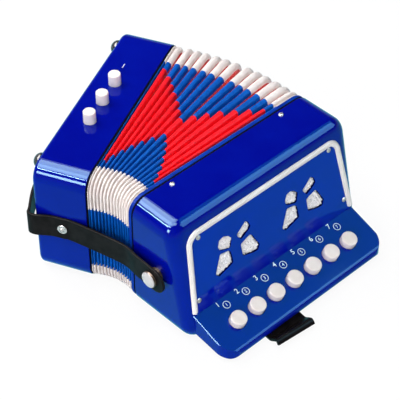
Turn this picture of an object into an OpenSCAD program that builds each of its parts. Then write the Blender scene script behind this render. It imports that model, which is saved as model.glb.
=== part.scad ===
// Toy button accordion, lying on its back with the bellows fanned open.
// +X runs from the bass box to the treble box, +Z is the front face, and the
// bellows stay closed along the low-Y side, where a strap holds them.
// Every piece is drawn as if the bellows were shut, then fanned to its place.

/* [Boxes] */
// Length of both boxes along the bellows folds
box_length = 174; // [150:1:200]
// Height of both boxes from back to front
box_height = 97.5; // [90:0.5:110]
// Radius of the four long edges of the boxes
box_radius = 13; // [8:0.5:16]
// Wall of the moulded boxes
wall = 2.4; // [2:0.1:3]

/* [Treble box] */
// Depth of the treble box along its front face
treble_depth = 38; // [34:0.5:44]
// Slope of the grille side away from upright
panel_slope = 12.5; // [8:0.5:16]
// Radius of the edges between the grille side and the long sides
panel_edge_radius = 10; // [6:0.5:12]
// Radius of the edge between the grille side and the front face
front_edge_radius = 9; // [6:0.5:12]
// Radius of the edge between the grille side and the back
back_edge_radius = 14; // [4:0.5:16]

/* [Grille panel] */
// Thickness of the grille panel
panel_thick = 2.4; // [1.8:0.1:3]
// Distance from the front corner down to the panel's top edge
panel_top = 13; // [11:0.5:15]
// Half the panel's width at its top edge
panel_half_top = 73; // [66:0.5:76]
// Half the panel's width at its lower edge
panel_half_low = 79.5; // [72:0.5:82]
// Radius of the panel's upper corners
panel_corner = 9; // [7:0.5:12]
// Width of the rim that the panel seats on
panel_rim = 7; // [6:0.5:9]
// Thickness of the cloth behind the cut-outs
cloth_thick = 0.8; // [0.5:0.1:1.5]
// Radius of the white trim bead
trim_radius = 2.4; // [1.8:0.1:3]
// How far the trim bead's centre lies below the panel face
trim_sink = 0.4; // [0.2:0.1:0.8]
// Spacing of the two groups of cut-outs
ornament_spacing = 66.4; // [60:0.2:72]
// Distance from the front corner down to the middle of the cut-outs
ornament_drop = 44; // [40:0.5:48]
// Radius of the corners of the cut-outs
petal_radius = 1.6; // [0.8:0.1:2]

/* [Fingerboard] */
// Length of the fingerboard along the button row
ledge_length = 162; // [154:1:168]
// Reach of the fingerboard out from the grille panel
ledge_reach = 40; // [37:0.5:44]
// Slope of the fingerboard's top
ledge_slope = 20; // [16:0.5:22]
// Height at which the fingerboard's top meets the grille panel
ledge_root = 23; // [21:0.5:26]
// Height at which the fingerboard's underside meets the treble box
ledge_low = 7; // [5:0.5:8]
// Radius of the fingerboard's rounded nose
nose_radius = 4.2; // [3.6:0.1:5]
// Radius of the fingerboard's outer corners, seen from above
ledge_corner = 14; // [10:0.5:18]
// Wall of the fingerboard
ledge_wall = 2.2; // [1.8:0.1:2.6]

/* [Treble buttons] */
// Radius of a treble button
button_radius = 6.1; // [5:0.1:7]
// Height of a treble button above the fingerboard
button_height = 5; // [4:0.1:6]
// Distance between treble buttons
button_pitch = 18.95; // [17:0.05:20]
// Distance of the button row from the grille panel
button_row = 20; // [18:0.5:23]
// Gap round a button in its hole
button_gap = 0.55; // [0.4:0.05:0.8]
// Bevel on the rim of a button
button_bevel = 0.9; // [0.4:0.1:1.4]

/* [Treble action] */
// Distance from the grille panel in to the lever shaft, along the fingerboard's slope
shaft_back = 20; // [17:0.5:23]
// Radius of the lever shaft
shaft_radius = 1.5; // [1.2:0.1:2]
// Running gap round the lever shaft
shaft_gap = 0.08; // [0.05:0.01:0.1]
// Depth of the lever's middle under the fingerboard's top
lever_drop = 4.2; // [4:0.1:4.6]
// Thickness of a lever
lever_thick = 2; // [1.6:0.1:2.2]
// Width of a lever
lever_width = 5; // [3:0.5:7]
// Radius of a lever's hub
hub_radius = 4; // [3:0.1:5]
// Radius of a treble pad
pad_radius = 7; // [5.5:0.1:8]
// Thickness of a pad
pad_thick = 2.5; // [1.5:0.1:3.5]
// Height of the row of pads above the back
pad_height = 62; // [58:0.5:66]
// Thickness of the soundboard
soundboard_thick = 3; // [2:0.1:4]
// Radius of a hole in the soundboard
soundboard_hole = 4; // [3:0.1:5]
// Radius of the wire of the springs
spring_wire = 0.4; // [0.3:0.05:0.5]

/* [Reeds] */
// Depth of the treble reed block
reed_block_depth = 13; // [8:0.5:14]
// Height of the treble reed block
reed_block_height = 16; // [12:0.5:20]
// Thickness of a reed plate
reed_plate_thick = 1; // [0.6:0.1:1.6]
// Width of a reed plate
reed_plate_width = 14; // [10:0.5:16]

/* [Bellows] */
// Angle to which the bellows are fanned open
fan_angle = 25.5; // [5:0.5:34]
// Distance from fold to fold with the bellows shut
fold_pitch = 2.42; // [2.4:0.01:2.8]
// Thickness of a fold along the bellows
fold_thick = 1.8; // [1.5:0.05:1.9]
// How far the folds lie inside the outline of the boxes
fold_inset = 1; // [0.6:0.1:2]
// Depth of a fold at the near end, where the bellows are pinched
fold_depth = 12; // [10:0.5:14]
// Depth of a fold at the far end, where the bellows open widest
fold_far_depth = 5.2; // [5:0.1:9]
// How far the web of a fold reaches under the next ridge
fold_lean = 8.5; // [7:0.1:9]
// Height of a fold's taped ridge over its web
ridge_rise = 1.3; // [1.1:0.05:1.5]
// Thickness of the black gasket on the treble box
gasket_thick = 1.6; // [1:0.1:2]
// Thickness of the bellows frame on the treble box
frame_thick = 3; // [2.4:0.1:4]
// How far the frame's edge stands back from the box
frame_inset = 0.3; // [0.2:0.1:0.6]
// Thickness of the gasket on the bass box
bass_gasket_thick = 1.5; // [1:0.1:2]
// Thickness of the tongue that goes into the treble box
tongue_thick = 3; // [2.5:0.1:4]
// Length of the tongue inside the treble box
tongue_length = 7.8; // [7:0.1:9]

/* [Bass box] */
// Depth of the bass box
bass_depth = 41; // [38:0.5:46]
// Radius of the edges round the bass box's end
bass_edge_radius = 3.5; // [2:0.5:5]
// Radius of a bass button
bass_button_radius = 4.7; // [4:0.1:5.5]
// Height of a bass button above the front face
bass_button_height = 9; // [7:0.1:10]
// Distance between bass buttons
bass_button_pitch = 23; // [21:0.5:25]
// Place of the middle bass button along the box
bass_button_middle = -2.5; // [-5:0.5:5]
// Distance of the bass buttons from the bellows
bass_button_in = 22.6; // [20:0.1:25]
// Gap round a bass button in its hole
bass_button_gap = 0.4; // [0.3:0.05:0.8]
// Height of the valve plate's underside above the back
valve_plate_low = 70; // [66:0.5:72]
// Thickness of the valve plate
valve_plate_thick = 3; // [2:0.1:4]
// Height of the bass reed block
bass_block_height = 11; // [8:0.5:12]
// Radius of a bass pad
bass_pad_radius = 7; // [6:0.1:8]
// Radius of a valve stem
stem_radius = 2; // [1.5:0.1:2.4]

/* [Straps] */
// Width of the straps
strap_width = 19.5; // [16:0.5:22]
// Thickness of the straps
strap_thick = 2; // [1.4:0.1:2.2]
// How far the fanning axis lies outside the boxes, in the strap's middle
strap_stand = 4; // [3:0.1:5]
// How far the hand strap bows out from the bass box
hand_bow = 14; // [11:0.5:18]
// Distance of the knob from the treble box's edge
knob_place = 24.5; // [22:0.5:27]
// Radius of the knob's head
knob_radius = 6.4; // [5:0.1:7]
// Length of the strap past the knob
strap_end = 12.8; // [11:0.2:15]

/* [Thumb rest] */
// Width of the thumb rest
thumb_width = 33.5; // [28:0.5:40]
// Place of the thumb rest's middle along the fingerboard
thumb_middle = -26.3; // [-34:0.1:-18]
// Thickness of the thumb rest
thumb_thick = 2; // [1.6:0.1:2.2]
// How far the thumb rest reaches past the fingerboard's nose
thumb_reach = 12.8; // [11:0.1:14]
// Length of the plate under the fingerboard
thumb_plate = 16; // [12:0.5:20]
// Angle by which the thumb rest is set askew
thumb_turn = 5; // [0:0.5:6]

/* [Fasteners] */
// Radius of a small screw's head
screw_head = 1.9; // [1.6:0.1:2.2]
// Gap between a screw's head and the trim bead
screw_clear = 0.15; // [0.1:0.05:0.5]
// Height of the panel's lower screws above its low edge
panel_screw_up = 10.3; // [8:0.1:14]
// Radius of a small screw's shank
screw_shank = 1.2; // [1:0.05:1.3]
// Gap round a screw's shank
screw_gap = 0.05; // [0.02:0.01:0.15]
// Distance of the case screws from the treble box's edge
case_screw_in = 4.5; // [4:0.1:5]
// Half the distance between the case screws
case_screw_half = 53.6; // [48:0.2:60]
// Radius of the round studs on the bass box's end
stud_radius = 6; // [5:0.1:6.6]
// Height of those studs
stud_height = 5.4; // [3.6:0.1:5.8]
// Radius of the washers under the strap screws
washer_radius = 3.8; // [3.2:0.1:4.6]

/* [Hidden] */
$fn = 48;
eps = 0.01;
fit = 0.15;
big = 400;
fold_count = 13;
button_count = 7;
valve_count = 3;

// Places that the bellows set
flange_face = -(gasket_thick + frame_thick);
fold_steps = fold_count + 0.7;
// How far each fold leads or lags an even fan, in steps, because paper never opens evenly
fold_drift = [-0.6, -0.55, -0.45, -0.1, -0.1, -0.05, 0.5, 0.6, 0.55, 0.75, 0.55, 0.35, 0.5];
function fold_share(i) = (i + fold_drift[i - 1]) / fold_steps;
closed_length = gasket_thick + frame_thick + fold_steps * fold_pitch + bass_gasket_thick;
fan_pivot = [-closed_length / 2, -(box_length / 2 + strap_stand), 0];
bass_seam = -closed_length;
bass_end = bass_seam - bass_depth;

// Places on the sloping grille side
function panel_x(z) = treble_depth + (box_height - z) * tan(panel_slope);
origin_x = panel_x(0) / 2;
panel_low = (box_height - ledge_root) / cos(panel_slope);
panel_splay = (panel_half_low - panel_half_top) / (panel_low - panel_top);
panel_lean = 90 + atan(panel_splay);
trim_corner_reach = panel_corner / tan(panel_lean / 2);
trim_corner_middle = [panel_half_top - trim_corner_reach, -panel_top - panel_corner];
e_wall = panel_thick + wall;

// Places on the fingerboard, as [x, z] of a point u along its top and h above it
ledge_start = [panel_x(ledge_root), ledge_root];
ledge_along = [cos(ledge_slope), -sin(ledge_slope)];
ledge_up = [sin(ledge_slope), cos(ledge_slope)];
function on_ledge(u, h) = ledge_start + u * ledge_along + h * ledge_up;
nose_middle = on_ledge(ledge_reach - nose_radius, -nose_radius);
ledge_heel = [panel_x(ledge_low), ledge_low];
heel_to_nose = nose_middle - ledge_heel;
underside_slope = atan2(heel_to_nose.y, heel_to_nose.x) - asin(nose_radius / norm(heel_to_nose));
underside_along = [cos(underside_slope), sin(underside_slope)];
underside_down = [sin(underside_slope), -cos(underside_slope)];
nose_low = nose_middle + nose_radius * underside_down;

// Places of the action
function button_y(k) = (k - (button_count + 1) / 2) * button_pitch;
shaft_at = on_ledge(-shaft_back, -lever_drop);
soundboard_face = tongue_length + fit + soundboard_thick;
pad_at = [soundboard_face + pad_thick, pad_height];
lever_hub_width = lever_width + 1;
lever_row_half = (button_count - 1) / 2 * button_pitch;
rib_thick = 3;
rib_places = [-(lever_row_half + button_pitch / 2), -button_pitch * 1.5, button_pitch * 1.5,
    lever_row_half + button_pitch / 2];
shaft_half = lever_row_half + button_pitch / 2 + rib_thick;
spring_turns = 2.5;
spring_pitch = 1.3;
valve_spring_turns = 4;

// Places of the bass valves
valve_x = bass_seam - bass_button_in;
function valve_y(k) = bass_button_middle + (k - 2) * bass_button_pitch;
front_inside = box_height - wall;
valve_plate_top = valve_plate_low + valve_plate_thick;
valve_block_top = valve_plate_top + bass_block_height;
valve_flange_top = front_inside - fit;
valve_flange_low = valve_flange_top - 2;
valve_hole = stem_radius + 3;
valve_chamber = bass_button_pitch - 4;
valve_block_half = valve_chamber / 2 + 2.2;

// Places of the straps and fasteners
strap_height = box_height / 2 - 0.75;
screw_in = 18.6;
stud_in = 7.8;
stud_half = 69.4;
screw_rise = 1.2;
screw_length = panel_thick + wall - 0.2;
knob_shoulder = strap_stand + 0.5;
knob_neck = 3.5;
hinge_gap = 0.5;

// Names of the pieces that repeat
function numbered(name, k) = str(name, k);
function fold_name(i) = str("fold_", i < 10 ? "0" : "", i);

// Plane curves
function unit(v) = v / norm(v);
function turned(v) = [-v.y, v.x];

// Points of one rounded corner p between its neighbours a and b
function corner_arc(p, a, b, r, n) =
    let (
        u = unit(a - p),
        v = unit(b - p),
        half = acos(u * v) / 2,
        middle = p + unit(u + v) * r / sin(half),
        first = p + u * r / tan(half) - middle,
        last = p + v * r / tan(half) - middle,
        from = atan2(first.y, first.x),
        turn = (atan2(last.y, last.x) - from + 540) % 360 - 180
    )
    [for (k = [0:n]) middle + r * [cos(from + turn * k / n), sin(from + turn * k / n)]];

// A polygon's points with every corner rounded
function rounded(points, r, n = 4) =
    let (count = len(points))
    [for (i = [0:count - 1])
        each corner_arc(points[i], points[(i + count - 1) % count], points[(i + 1) % count], r, n)];

// A smooth curve through points, with n steps between neighbours
function between(a, b, c, d, t) =
    0.5 * (2 * b + (c - a) * t + (2 * a - 5 * b + 4 * c - d) * t * t + (3 * b - a - 3 * c + d) * t * t * t);
function curve(p, n) =
    let (last = len(p) - 1)
    concat(
        [for (i = [0:last - 1]) for (k = [0:n - 1])
            between(p[max(i - 1, 0)], p[i], p[i + 1], p[min(i + 2, last)], k / n)],
        [p[last]]);

// The outline of a band of thickness t along a path
function side_of(path, t) =
    let (last = len(path) - 1)
    [for (i = [0:last]) path[i] + t * turned(unit(path[min(i + 1, last)] - path[max(i - 1, 0)]))];
function reversed(points) = [for (i = [len(points) - 1:-1:0]) points[i]];
function band(path, t) = concat(side_of(path, t / 2), reversed(side_of(path, -t / 2)));

// Extrusions of a plane shape along the row's axes
module along_x(from, length) {
    translate([from, 0, 0])
        rotate([90, 0, 90])
            linear_extrude(length) children();
}

module along_y(from, length) {
    translate([0, from + length, 0])
        rotate([90, 0, 0])
            linear_extrude(length) children();
}

// The outline that both boxes and the bellows share, in the plane of Y and Z
module box_outline(inset) {
    radius = max(box_radius - inset, 1);
    width = box_length - 2 * inset;
    height = box_height - 2 * inset;
    translate([0, box_height / 2]) {
        square([width - 2 * radius, height], center = true);
        square([width, height - 2 * radius], center = true);
        for (sy = [-1, 1])
            for (sz = [-1, 1])
                translate([sy * (width / 2 - radius), sz * (height / 2 - radius)]) circle(radius);
    }
}

module box_ring(from, length, outside, inside) {
    along_x(from, length)
        difference() {
            box_outline(outside);
            box_outline(inside);
        }
}

// Frames of reference
module in_row() {
    translate([-origin_x, 0, 0]) children();
}

module fanned(share) {
    in_row()
        translate(fan_pivot)
            rotate([0, 0, fan_angle * share])
                translate(-fan_pivot) children();
}

// Local X is the panel's outward normal and local Z runs up the panel
module on_panel() {
    translate([treble_depth, 0, box_height])
        rotate([0, -panel_slope, 0]) children();
}

// Local X runs down the fingerboard and local Z is its upward normal
module on_fingerboard() {
    translate([ledge_start.x, 0, ledge_start.y])
        rotate([0, ledge_slope, 0]) children();
}

// A point of the panel's edge, pushed inwards by inset
function panel_edge(inset) =
    let (splay = panel_splay)
    [
        [-panel_half_low + inset, -panel_low],
        [panel_half_low - inset, -panel_low],
        [panel_half_top - inset + splay * inset, -panel_top - inset],
        [-panel_half_top + inset - splay * inset, -panel_top - inset]
    ];

module panel_shape(inset, low) {
    corners = panel_edge(inset);
    radius = max(panel_corner - inset, 1.5);
    polygon(concat(
        [corners[0] + [0, low], corners[1] + [0, low]],
        corner_arc(corners[2], corners[1], corners[3], radius, 8),
        corner_arc(corners[3], corners[2], corners[0], radius, 8)));
}

// The treble box's outside: three prisms whose common part has all its edges rounded
module treble_outside() {
    radius = panel_edge_radius;
    foot = [panel_x(0), 0];
    corner = [treble_depth, box_height];
    top = [0, box_height];
    intersection() {
        along_x(0, big) box_outline(0);
        along_y(-box_length / 2 - 1, box_length + 2)
            polygon(concat(
                [[0, 0]],
                corner_arc(foot, [0, 0], corner, back_edge_radius, 12),
                corner_arc(corner, foot, top, front_edge_radius, 12),
                [top]));
        on_panel()
            translate([0, 0, -big / 2])
                linear_extrude(big) {
                    translate([-big, -box_length / 2]) square([big - radius, box_length]);
                    translate([-big, radius - box_length / 2]) square([big, box_length - 2 * radius]);
                    for (sy = [-1, 1])
                        translate([-radius, sy * (box_length / 2 - radius)]) circle(radius);
                }
    }
}

module treble_inside() {
    inner_depth = treble_depth - e_wall / cos(panel_slope);
    intersection() {
        along_x(-1, big) box_outline(wall);
        along_y(-box_length / 2, box_length)
            polygon([
                [-1, 0],
                [inner_depth + box_height * tan(panel_slope), 0],
                [inner_depth, box_height],
                [-1, box_height]
            ]);
    }
}

// Small screws: the head's seat is at z = 0 and the head stands up from it
module small_screw(length) {
    rotate_extrude()
        polygon([
            [0, -length],
            [screw_shank, -length],
            [screw_shank, 0],
            [screw_head, 0],
            [screw_head, screw_rise * 0.45],
            [screw_head * 0.72, screw_rise * 0.85],
            [0, screw_rise]
        ]);
}

module at_panel_screws() {
    stand = trim_radius + screw_head + screw_clear;
    upper_half = trim_corner_middle.x;
    upper = panel_top + stand;
    lower_half = panel_half_low - panel_splay * panel_screw_up - stand / cos(atan(panel_splay));
    lower = panel_low - panel_screw_up;
    on_panel()
        for (at = [[-upper_half, -upper], [upper_half, -upper], [-lower_half, -lower], [lower_half, -lower]])
            translate([0, at.x, at.y]) rotate([0, 90, 0]) children();
}

module at_front_screws() {
    for (sy = [-1, 1])
        translate([case_screw_in, sy * case_screw_half, box_height]) children();
}

module at_back_screws() {
    for (sy = [-1, 1])
        translate([case_screw_in, sy * case_screw_half, screw_rise + fit]) rotate([180, 0, 0]) children();
}

module screw_hole() {
    translate([0, 0, -screw_length - 1]) cylinder(r = screw_shank + screw_gap, h = screw_length + 2);
}

module lever_slot() {
    half = lever_row_half + lever_width / 2 + 3;
    on_fingerboard()
        translate([-14, -half, -lever_drop - lever_thick / 2 - 2.4])
            cube([22, 2 * half, lever_thick + 3]);
}

module treble_case() {
    seat = panel_rim;
    color("mediumblue") in_row() difference() {
        treble_outside();
        treble_inside();
        on_panel() along_x(-panel_thick, big) panel_shape(-fit, 0);
        on_panel() along_x(-e_wall - 1, big) panel_shape(seat, seat);
        at_panel_screws() screw_hole();
        at_front_screws() screw_hole();
        at_back_screws() screw_hole();
        for (sy = [-1, 1])
            translate([case_screw_in, sy * case_screw_half, -1])
                cylinder(r = screw_head + 0.3, h = 1 + screw_rise + fit);
        lever_slot();
    }
}

// Cut-outs of one group, as [along the box, down the panel] from the group's middle
petals = [
    [[-15, -8.6], [-12.6, -13.4], [-8.6, -14.1], [-4.4, -12.1], [-1.6, -9], [-4.2, -1.8], [-13.6, -5]],
    [[-14.2, -2.3], [-6, -0.6], [-4.3, 1.6], [-3.6, 11], [-18, 14.6], [-21, 11.4]],
    [[2.8, -8.2], [12.6, -14.7], [15.2, -12.8], [16.8, -8.4], [14.4, -6.2], [6.6, -2.7]],
    [[5.5, 0.7], [15, -1.9], [17.2, 0.1], [22.4, 10.6], [20.2, 14.4], [16, 14.3], [5.7, 11.1]]
];
ornament_shift = -1.3;

module petal_shapes() {
    for (side = [-1, 1])
        translate([side * ornament_spacing / 2 + ornament_shift, -ornament_drop])
            for (petal = petals)
                polygon(rounded([for (p = petal) [p.x, -p.y]], min(petal_radius, 1.6)));
}

module grille_panel() {
    color("royalblue") in_row() difference() {
        on_panel()
            along_x(-panel_thick, panel_thick)
                difference() {
                    panel_shape(0, 0);
                    petal_shapes();
                }
        at_panel_screws() screw_hole();
    }
}

module grille_cloth() {
    color("whitesmoke") in_row() on_panel()
        along_x(-panel_thick - cloth_thick, cloth_thick) panel_shape(panel_rim + fit, panel_rim + fit);
}

// A round bead along the panel's edge, flat where it lies on the panel
module bead_bar(from, to) {
    way = to - from;
    translate([-trim_sink, from.x, from.y])
        rotate([atan2(way.y, way.x) - 90, 0, 0]) cylinder(r = trim_radius, h = norm(way));
}

module panel_trim() {
    corners = panel_edge(0);
    rise = trim_radius * 1.5;
    lean = panel_lean;
    reach = trim_corner_reach;
    leg = unit(corners[1] - corners[2]);
    middle = trim_corner_middle;
    color("ivory") in_row() on_panel()
        intersection() {
            union() {
                bead_bar([-middle.x, corners[2].y], [middle.x, corners[2].y]);
                for (side = [-1, 1])
                    mirror([0, side < 0 ? 1 : 0, 0]) {
                        bead_bar(corners[2] + reach * leg, corners[1] - rise * leg);
                        translate([-trim_sink, middle.x, middle.y])
                            rotate([90, 0, 90])
                                rotate([0, 0, lean - 90])
                                    rotate_extrude(angle = 180 - lean)
                                        translate([panel_corner, 0]) circle(trim_radius);
                        translate([-trim_sink, (corners[1] - rise * leg).x, (corners[1] - rise * leg).y])
                            sphere(trim_radius);
                    }
            }
            translate([0, -big / 2, -big / 2]) cube([big, big, big]);
        }
}

// The fingerboard's side view, with its walls pushed inwards by inset
module ledge_profile(inset) {
    back = 30;
    first = 90 - ledge_slope;
    last = underside_slope - 90;
    steps = 24;
    nose = [for (k = [0:steps])
        nose_middle + (nose_radius - inset) * [cos(first + (last - first) * k / steps),
            sin(first + (last - first) * k / steps)]];
    polygon(concat(
        [on_ledge(-back, -inset)],
        nose,
        [ledge_heel - inset * underside_down - back * underside_along]));
}

module ledge_plan(inset) {
    half = ledge_length / 2 - inset;
    front = nose_middle.x + nose_radius - inset;
    radius = max(ledge_corner - inset, 1);
    translate([0, -half]) square([front - radius, 2 * half]);
    translate([0, -half + radius]) square([front, 2 * half - 2 * radius]);
    for (sy = [-1, 1])
        translate([front - radius, sy * (half - radius)]) circle(radius);
}

module ledge_solid(inset) {
    intersection() {
        along_y(-ledge_length / 2, ledge_length) ledge_profile(inset);
        linear_extrude(box_height) ledge_plan(inset);
    }
}

module fingerboard() {
    color("mediumblue") in_row() difference() {
        ledge_solid(0);
        ledge_solid(ledge_wall);
        treble_outside();
        for (k = [1:button_count])
            on_fingerboard()
                translate([button_row, button_y(k), -ledge_wall - 1])
                    cylinder(r = button_radius + button_gap, h = ledge_wall + 2);
    }
}

// A hook under the fingerboard's nose: a gutter for the thumb with a rolled lip, set a little askew
module thumb_rest() {
    half = thumb_thick / 2;
    step = thumb_reach;
    plate = [for (d = [1, 0.5, 0]) nose_low - d * thumb_plate * underside_along + half * underside_down];
    lip = [nose_low.x + nose_radius + step, nose_low.y + 0.047 * step];
    bend = [
        nose_low + [0.3125 * step, -1.3 * half],
        nose_low + [0.6406 * step, -half],
        lip + [-0.3438 * step, 0.1172 * step],
        lip + [-0.1563 * step, 0.1875 * step],
        lip
    ];
    path = concat(plate, curve(bend, 4));
    color([0.06, 0.06, 0.07]) in_row()
        translate([nose_low.x, thumb_middle, nose_low.y])
            rotate([0, -underside_slope, 0])
                rotate([0, 0, -thumb_turn])
                    rotate([0, underside_slope, 0])
                        translate([-nose_low.x, 0, -nose_low.y])
                            along_y(-thumb_width / 2, thumb_width) polygon(band(path, thumb_thick));
}

module treble_soundboard() {
    foot = 11;
    color("burlywood") in_row() difference() {
        union() {
            along_x(tongue_length + fit, soundboard_thick) box_outline(wall + fit);
            for (y = rib_places)
                along_y(y - rib_thick / 2, rib_thick) {
                    polygon([
                        [soundboard_face - 1, shaft_at.y - foot],
                        [shaft_at.x, shaft_at.y - hub_radius],
                        [shaft_at.x, shaft_at.y + hub_radius],
                        [soundboard_face - 1, shaft_at.y + foot]
                    ]);
                    translate(shaft_at) circle(hub_radius);
                }
        }
        for (k = [1:button_count])
            translate([0, button_y(k), pad_height])
                rotate([0, 90, 0]) cylinder(r = soundboard_hole, h = soundboard_face + 1);
        along_y(-box_length / 2, box_length) translate(shaft_at) circle(shaft_radius + screw_gap);
    }
}

module treble_reed_block() {
    half = lever_row_half + button_pitch / 2 - 1;
    back = tongue_length + fit;
    color("tan") in_row() difference() {
        translate([back - reed_block_depth, -half, pad_height - reed_block_height / 2])
            cube([reed_block_depth, 2 * half, reed_block_height]);
        for (k = [1:button_count])
            translate([back - reed_block_depth + 2, button_y(k), pad_height])
                rotate([0, 90, 0]) cylinder(r = soundboard_hole, h = reed_block_depth);
    }
}

module treble_reed_plates() {
    length = reed_block_depth - 2;
    color("goldenrod") in_row()
        for (k = [1:button_count])
            for (sz = [-1, 1])
                translate([
                    tongue_length + fit - reed_block_depth + 1,
                    button_y(k) - reed_plate_width / 2,
                    pad_height + sz * (reed_block_height + reed_plate_thick) / 2 - reed_plate_thick / 2
                ])
                    difference() {
                        cube([length, reed_plate_width, reed_plate_thick]);
                        for (slot = [0.28, 0.72])
                            translate([1.5, reed_plate_width * slot - 1, -1])
                                cube([length - 3, 2, reed_plate_thick + 2]);
                    }
}

module lever_shaft() {
    color("silver") in_row()
        along_y(-shaft_half, 2 * shaft_half) translate(shaft_at) circle(shaft_radius);
}

// An open coil of round wire along Z, as one tube of six sides
module coil(mean_radius, turns, pitch) {
    steps = 8;
    sides = 6;
    rings = turns * steps;
    points = [
        for (i = [0:rings])
            for (j = [0:sides - 1])
                let (reach = mean_radius + spring_wire * cos(360 * j / sides))
                [
                    reach * cos(360 * i / steps),
                    reach * sin(360 * i / steps),
                    pitch * i / steps + spring_wire * sin(360 * j / sides)
                ]
    ];
    function at(i, j) = i * sides + j % sides;
    walls = [
        for (i = [0:rings - 1])
            for (j = [0:sides - 1])
                each [[at(i, j), at(i, j + 1), at(i + 1, j)], [at(i + 1, j), at(i, j + 1), at(i + 1, j + 1)]]
    ];
    ends = [
        for (j = [1:sides - 2])
            each [[0, j + 1, j], [at(rings, 0), at(rings, j), at(rings, j + 1)]]
    ];
    polyhedron(points, concat(walls, ends));
}

// The least gap between the turns of a coil, measured on its middle line
function coil_point(i, mean, pitch) = [mean * cos(45 * i), mean * sin(45 * i), pitch * i / 8];
function least_gap(mean, turns, pitch) =
    min([for (i = [0:8 * turns - 5])
        for (j = [i + 5:8 * turns])
            norm(coil_point(i, mean, pitch) - coil_point(j, mean, pitch))]) - 2 * spring_wire;

lever_spring_mean = hub_radius - spring_wire - 0.6;

module lever_springs() {
    color("silver") in_row()
        for (k = [1:button_count])
            translate([shaft_at.x, button_y(k) + lever_hub_width / 2 + spring_wire + fit, shaft_at.y])
                rotate([-90, 0, 0]) coil(lever_spring_mean, spring_turns, spring_pitch);
}

module treble_screws() {
    color("gainsboro") in_row() {
        at_panel_screws() small_screw(screw_length);
        at_front_screws() small_screw(screw_length);
        at_back_screws() small_screw(wall + tongue_thick - screw_rise - 0.5);
    }
}

module treble_gasket() {
    color([0.05, 0.05, 0.06]) in_row() box_ring(-gasket_thick, gasket_thick, 0.4, wall);
}

// One rounded corner of the bellows' outline in the plane of x, counted from the far front one
function fold_corner(quarter, inset, x) =
    let (
        steps = 4,
        sy = quarter == 0 || quarter == 3 ? 1 : -1,
        sz = quarter < 2 ? 1 : -1,
        radius = max(box_radius - inset, fold_thick),
        middle_y = sy * (box_length / 2 - inset - radius),
        middle_z = box_height / 2 + sz * (box_height / 2 - inset - radius)
    )
    [for (k = [0:steps])
        let (angle = 90 * (quarter + k / steps))
        [x, middle_y + radius * cos(angle), middle_z + radius * sin(angle)]];

function points_between(a, b, steps) = [for (k = [1:steps - 1]) a + (b - a) * k / steps];

// The bellows' outline in the plane of x, pushed inwards by its own inset at the near and the far end
function fold_loop(near_inset, far_inset, x) =
    let (
        long_steps = 4,
        far_front = fold_corner(0, far_inset, x),
        near_front = fold_corner(1, near_inset, x),
        near_back = fold_corner(2, near_inset, x),
        far_back = fold_corner(3, far_inset, x)
    )
    concat(
        far_front,
        points_between(far_front[len(far_front) - 1], near_front[0], long_steps),
        near_front,
        near_back,
        points_between(near_back[len(near_back) - 1], far_back[0], long_steps),
        far_back
    );

// One fold: a rounded ridge of tape and a web that reaches under the next ridge. Shut folds nest like tiles.
// Each point of the section is its way towards the bass box and its depth at the near and the far end.
module fold_ring(ridge) {
    half = fold_thick / 2;
    shoulder = ridge_rise / 4;
    foot = half + ridge_rise / 3;
    edge = half + fold_lean;
    section = [
        [-half / 2, 0, 0],
        [half / 2, 0, 0],
        [half, shoulder, shoulder],
        [foot, ridge_rise, ridge_rise],
        [edge, fold_depth, fold_far_depth],
        [edge - fold_thick, fold_depth, fold_far_depth],
        [foot - fold_thick, ridge_rise, ridge_rise],
        [-half, shoulder, shoulder]
    ];
    loops = [for (p = section) fold_loop(fold_inset + p[1], fold_inset + p[2], ridge - p[0])];
    turns = len(loops);
    count = len(loops[0]);
    function at(loop, j) = (loop % turns) * count + j % count;
    // The outside and the inside are split along the same diagonals, so that they stay parallel
    faces = [
        for (loop = [0:turns - 1])
            for (j = [0:count - 1])
                each loop < turns / 2
                    ? [
                        [at(loop, j), at(loop, j + 1), at(loop + 1, j)],
                        [at(loop + 1, j), at(loop, j + 1), at(loop + 1, j + 1)]
                    ]
                    : [
                        [at(loop, j), at(loop, j + 1), at(loop + 1, j + 1)],
                        [at(loop, j), at(loop + 1, j + 1), at(loop + 1, j)]
                    ]
    ];
    polyhedron([for (loop = loops) each loop], faces);
}

module bellows_fold(i) {
    shade = i % 2 == 0 ? "crimson" : "red";
    color(shade) fanned(fold_share(i)) fold_ring(flange_face - i * fold_pitch);
}

module bellows_frame() {
    tongue_in = wall + fit;
    root = frame_thick / 3;
    color("dodgerblue") in_row() {
        difference() {
            union() {
                box_ring(flange_face, frame_thick, frame_inset, tongue_in + tongue_thick);
                box_ring(-gasket_thick - root, gasket_thick + root + tongue_length,
                    tongue_in, tongue_in + tongue_thick);
            }
            at_front_screws() screw_hole();
            at_back_screws() screw_hole();
        }
        fold_ring(flange_face + fold_thick / 2);
    }
}

// A mushroom knob: the strap's hole drops over its neck and its head keeps it there
module on_knob() {
    translate([knob_place, -box_length / 2, strap_height]) rotate([90, 0, 0]) children();
}

function closing_y(x) = -(box_length / 2 + strap_stand) - 0.03 * (x - fan_pivot.x);
knob_strap = -closing_y(knob_place) - box_length / 2;
knob_head = knob_strap + strap_thick / 2 + 0.4;

module strap_knob() {
    color([0.28, 0.22, 0.17]) in_row() on_knob()
        rotate_extrude()
            polygon([
                [0, 0],
                [knob_neck + 2, 0],
                [knob_neck + 2, knob_strap - strap_thick / 2 - 0.3],
                [knob_neck, knob_strap - strap_thick / 2 - 0.3],
                [knob_neck, knob_head],
                [knob_radius, knob_head],
                [knob_radius, knob_head + 1.6],
                [0, knob_head + 1.6]
            ]);
}

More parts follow.
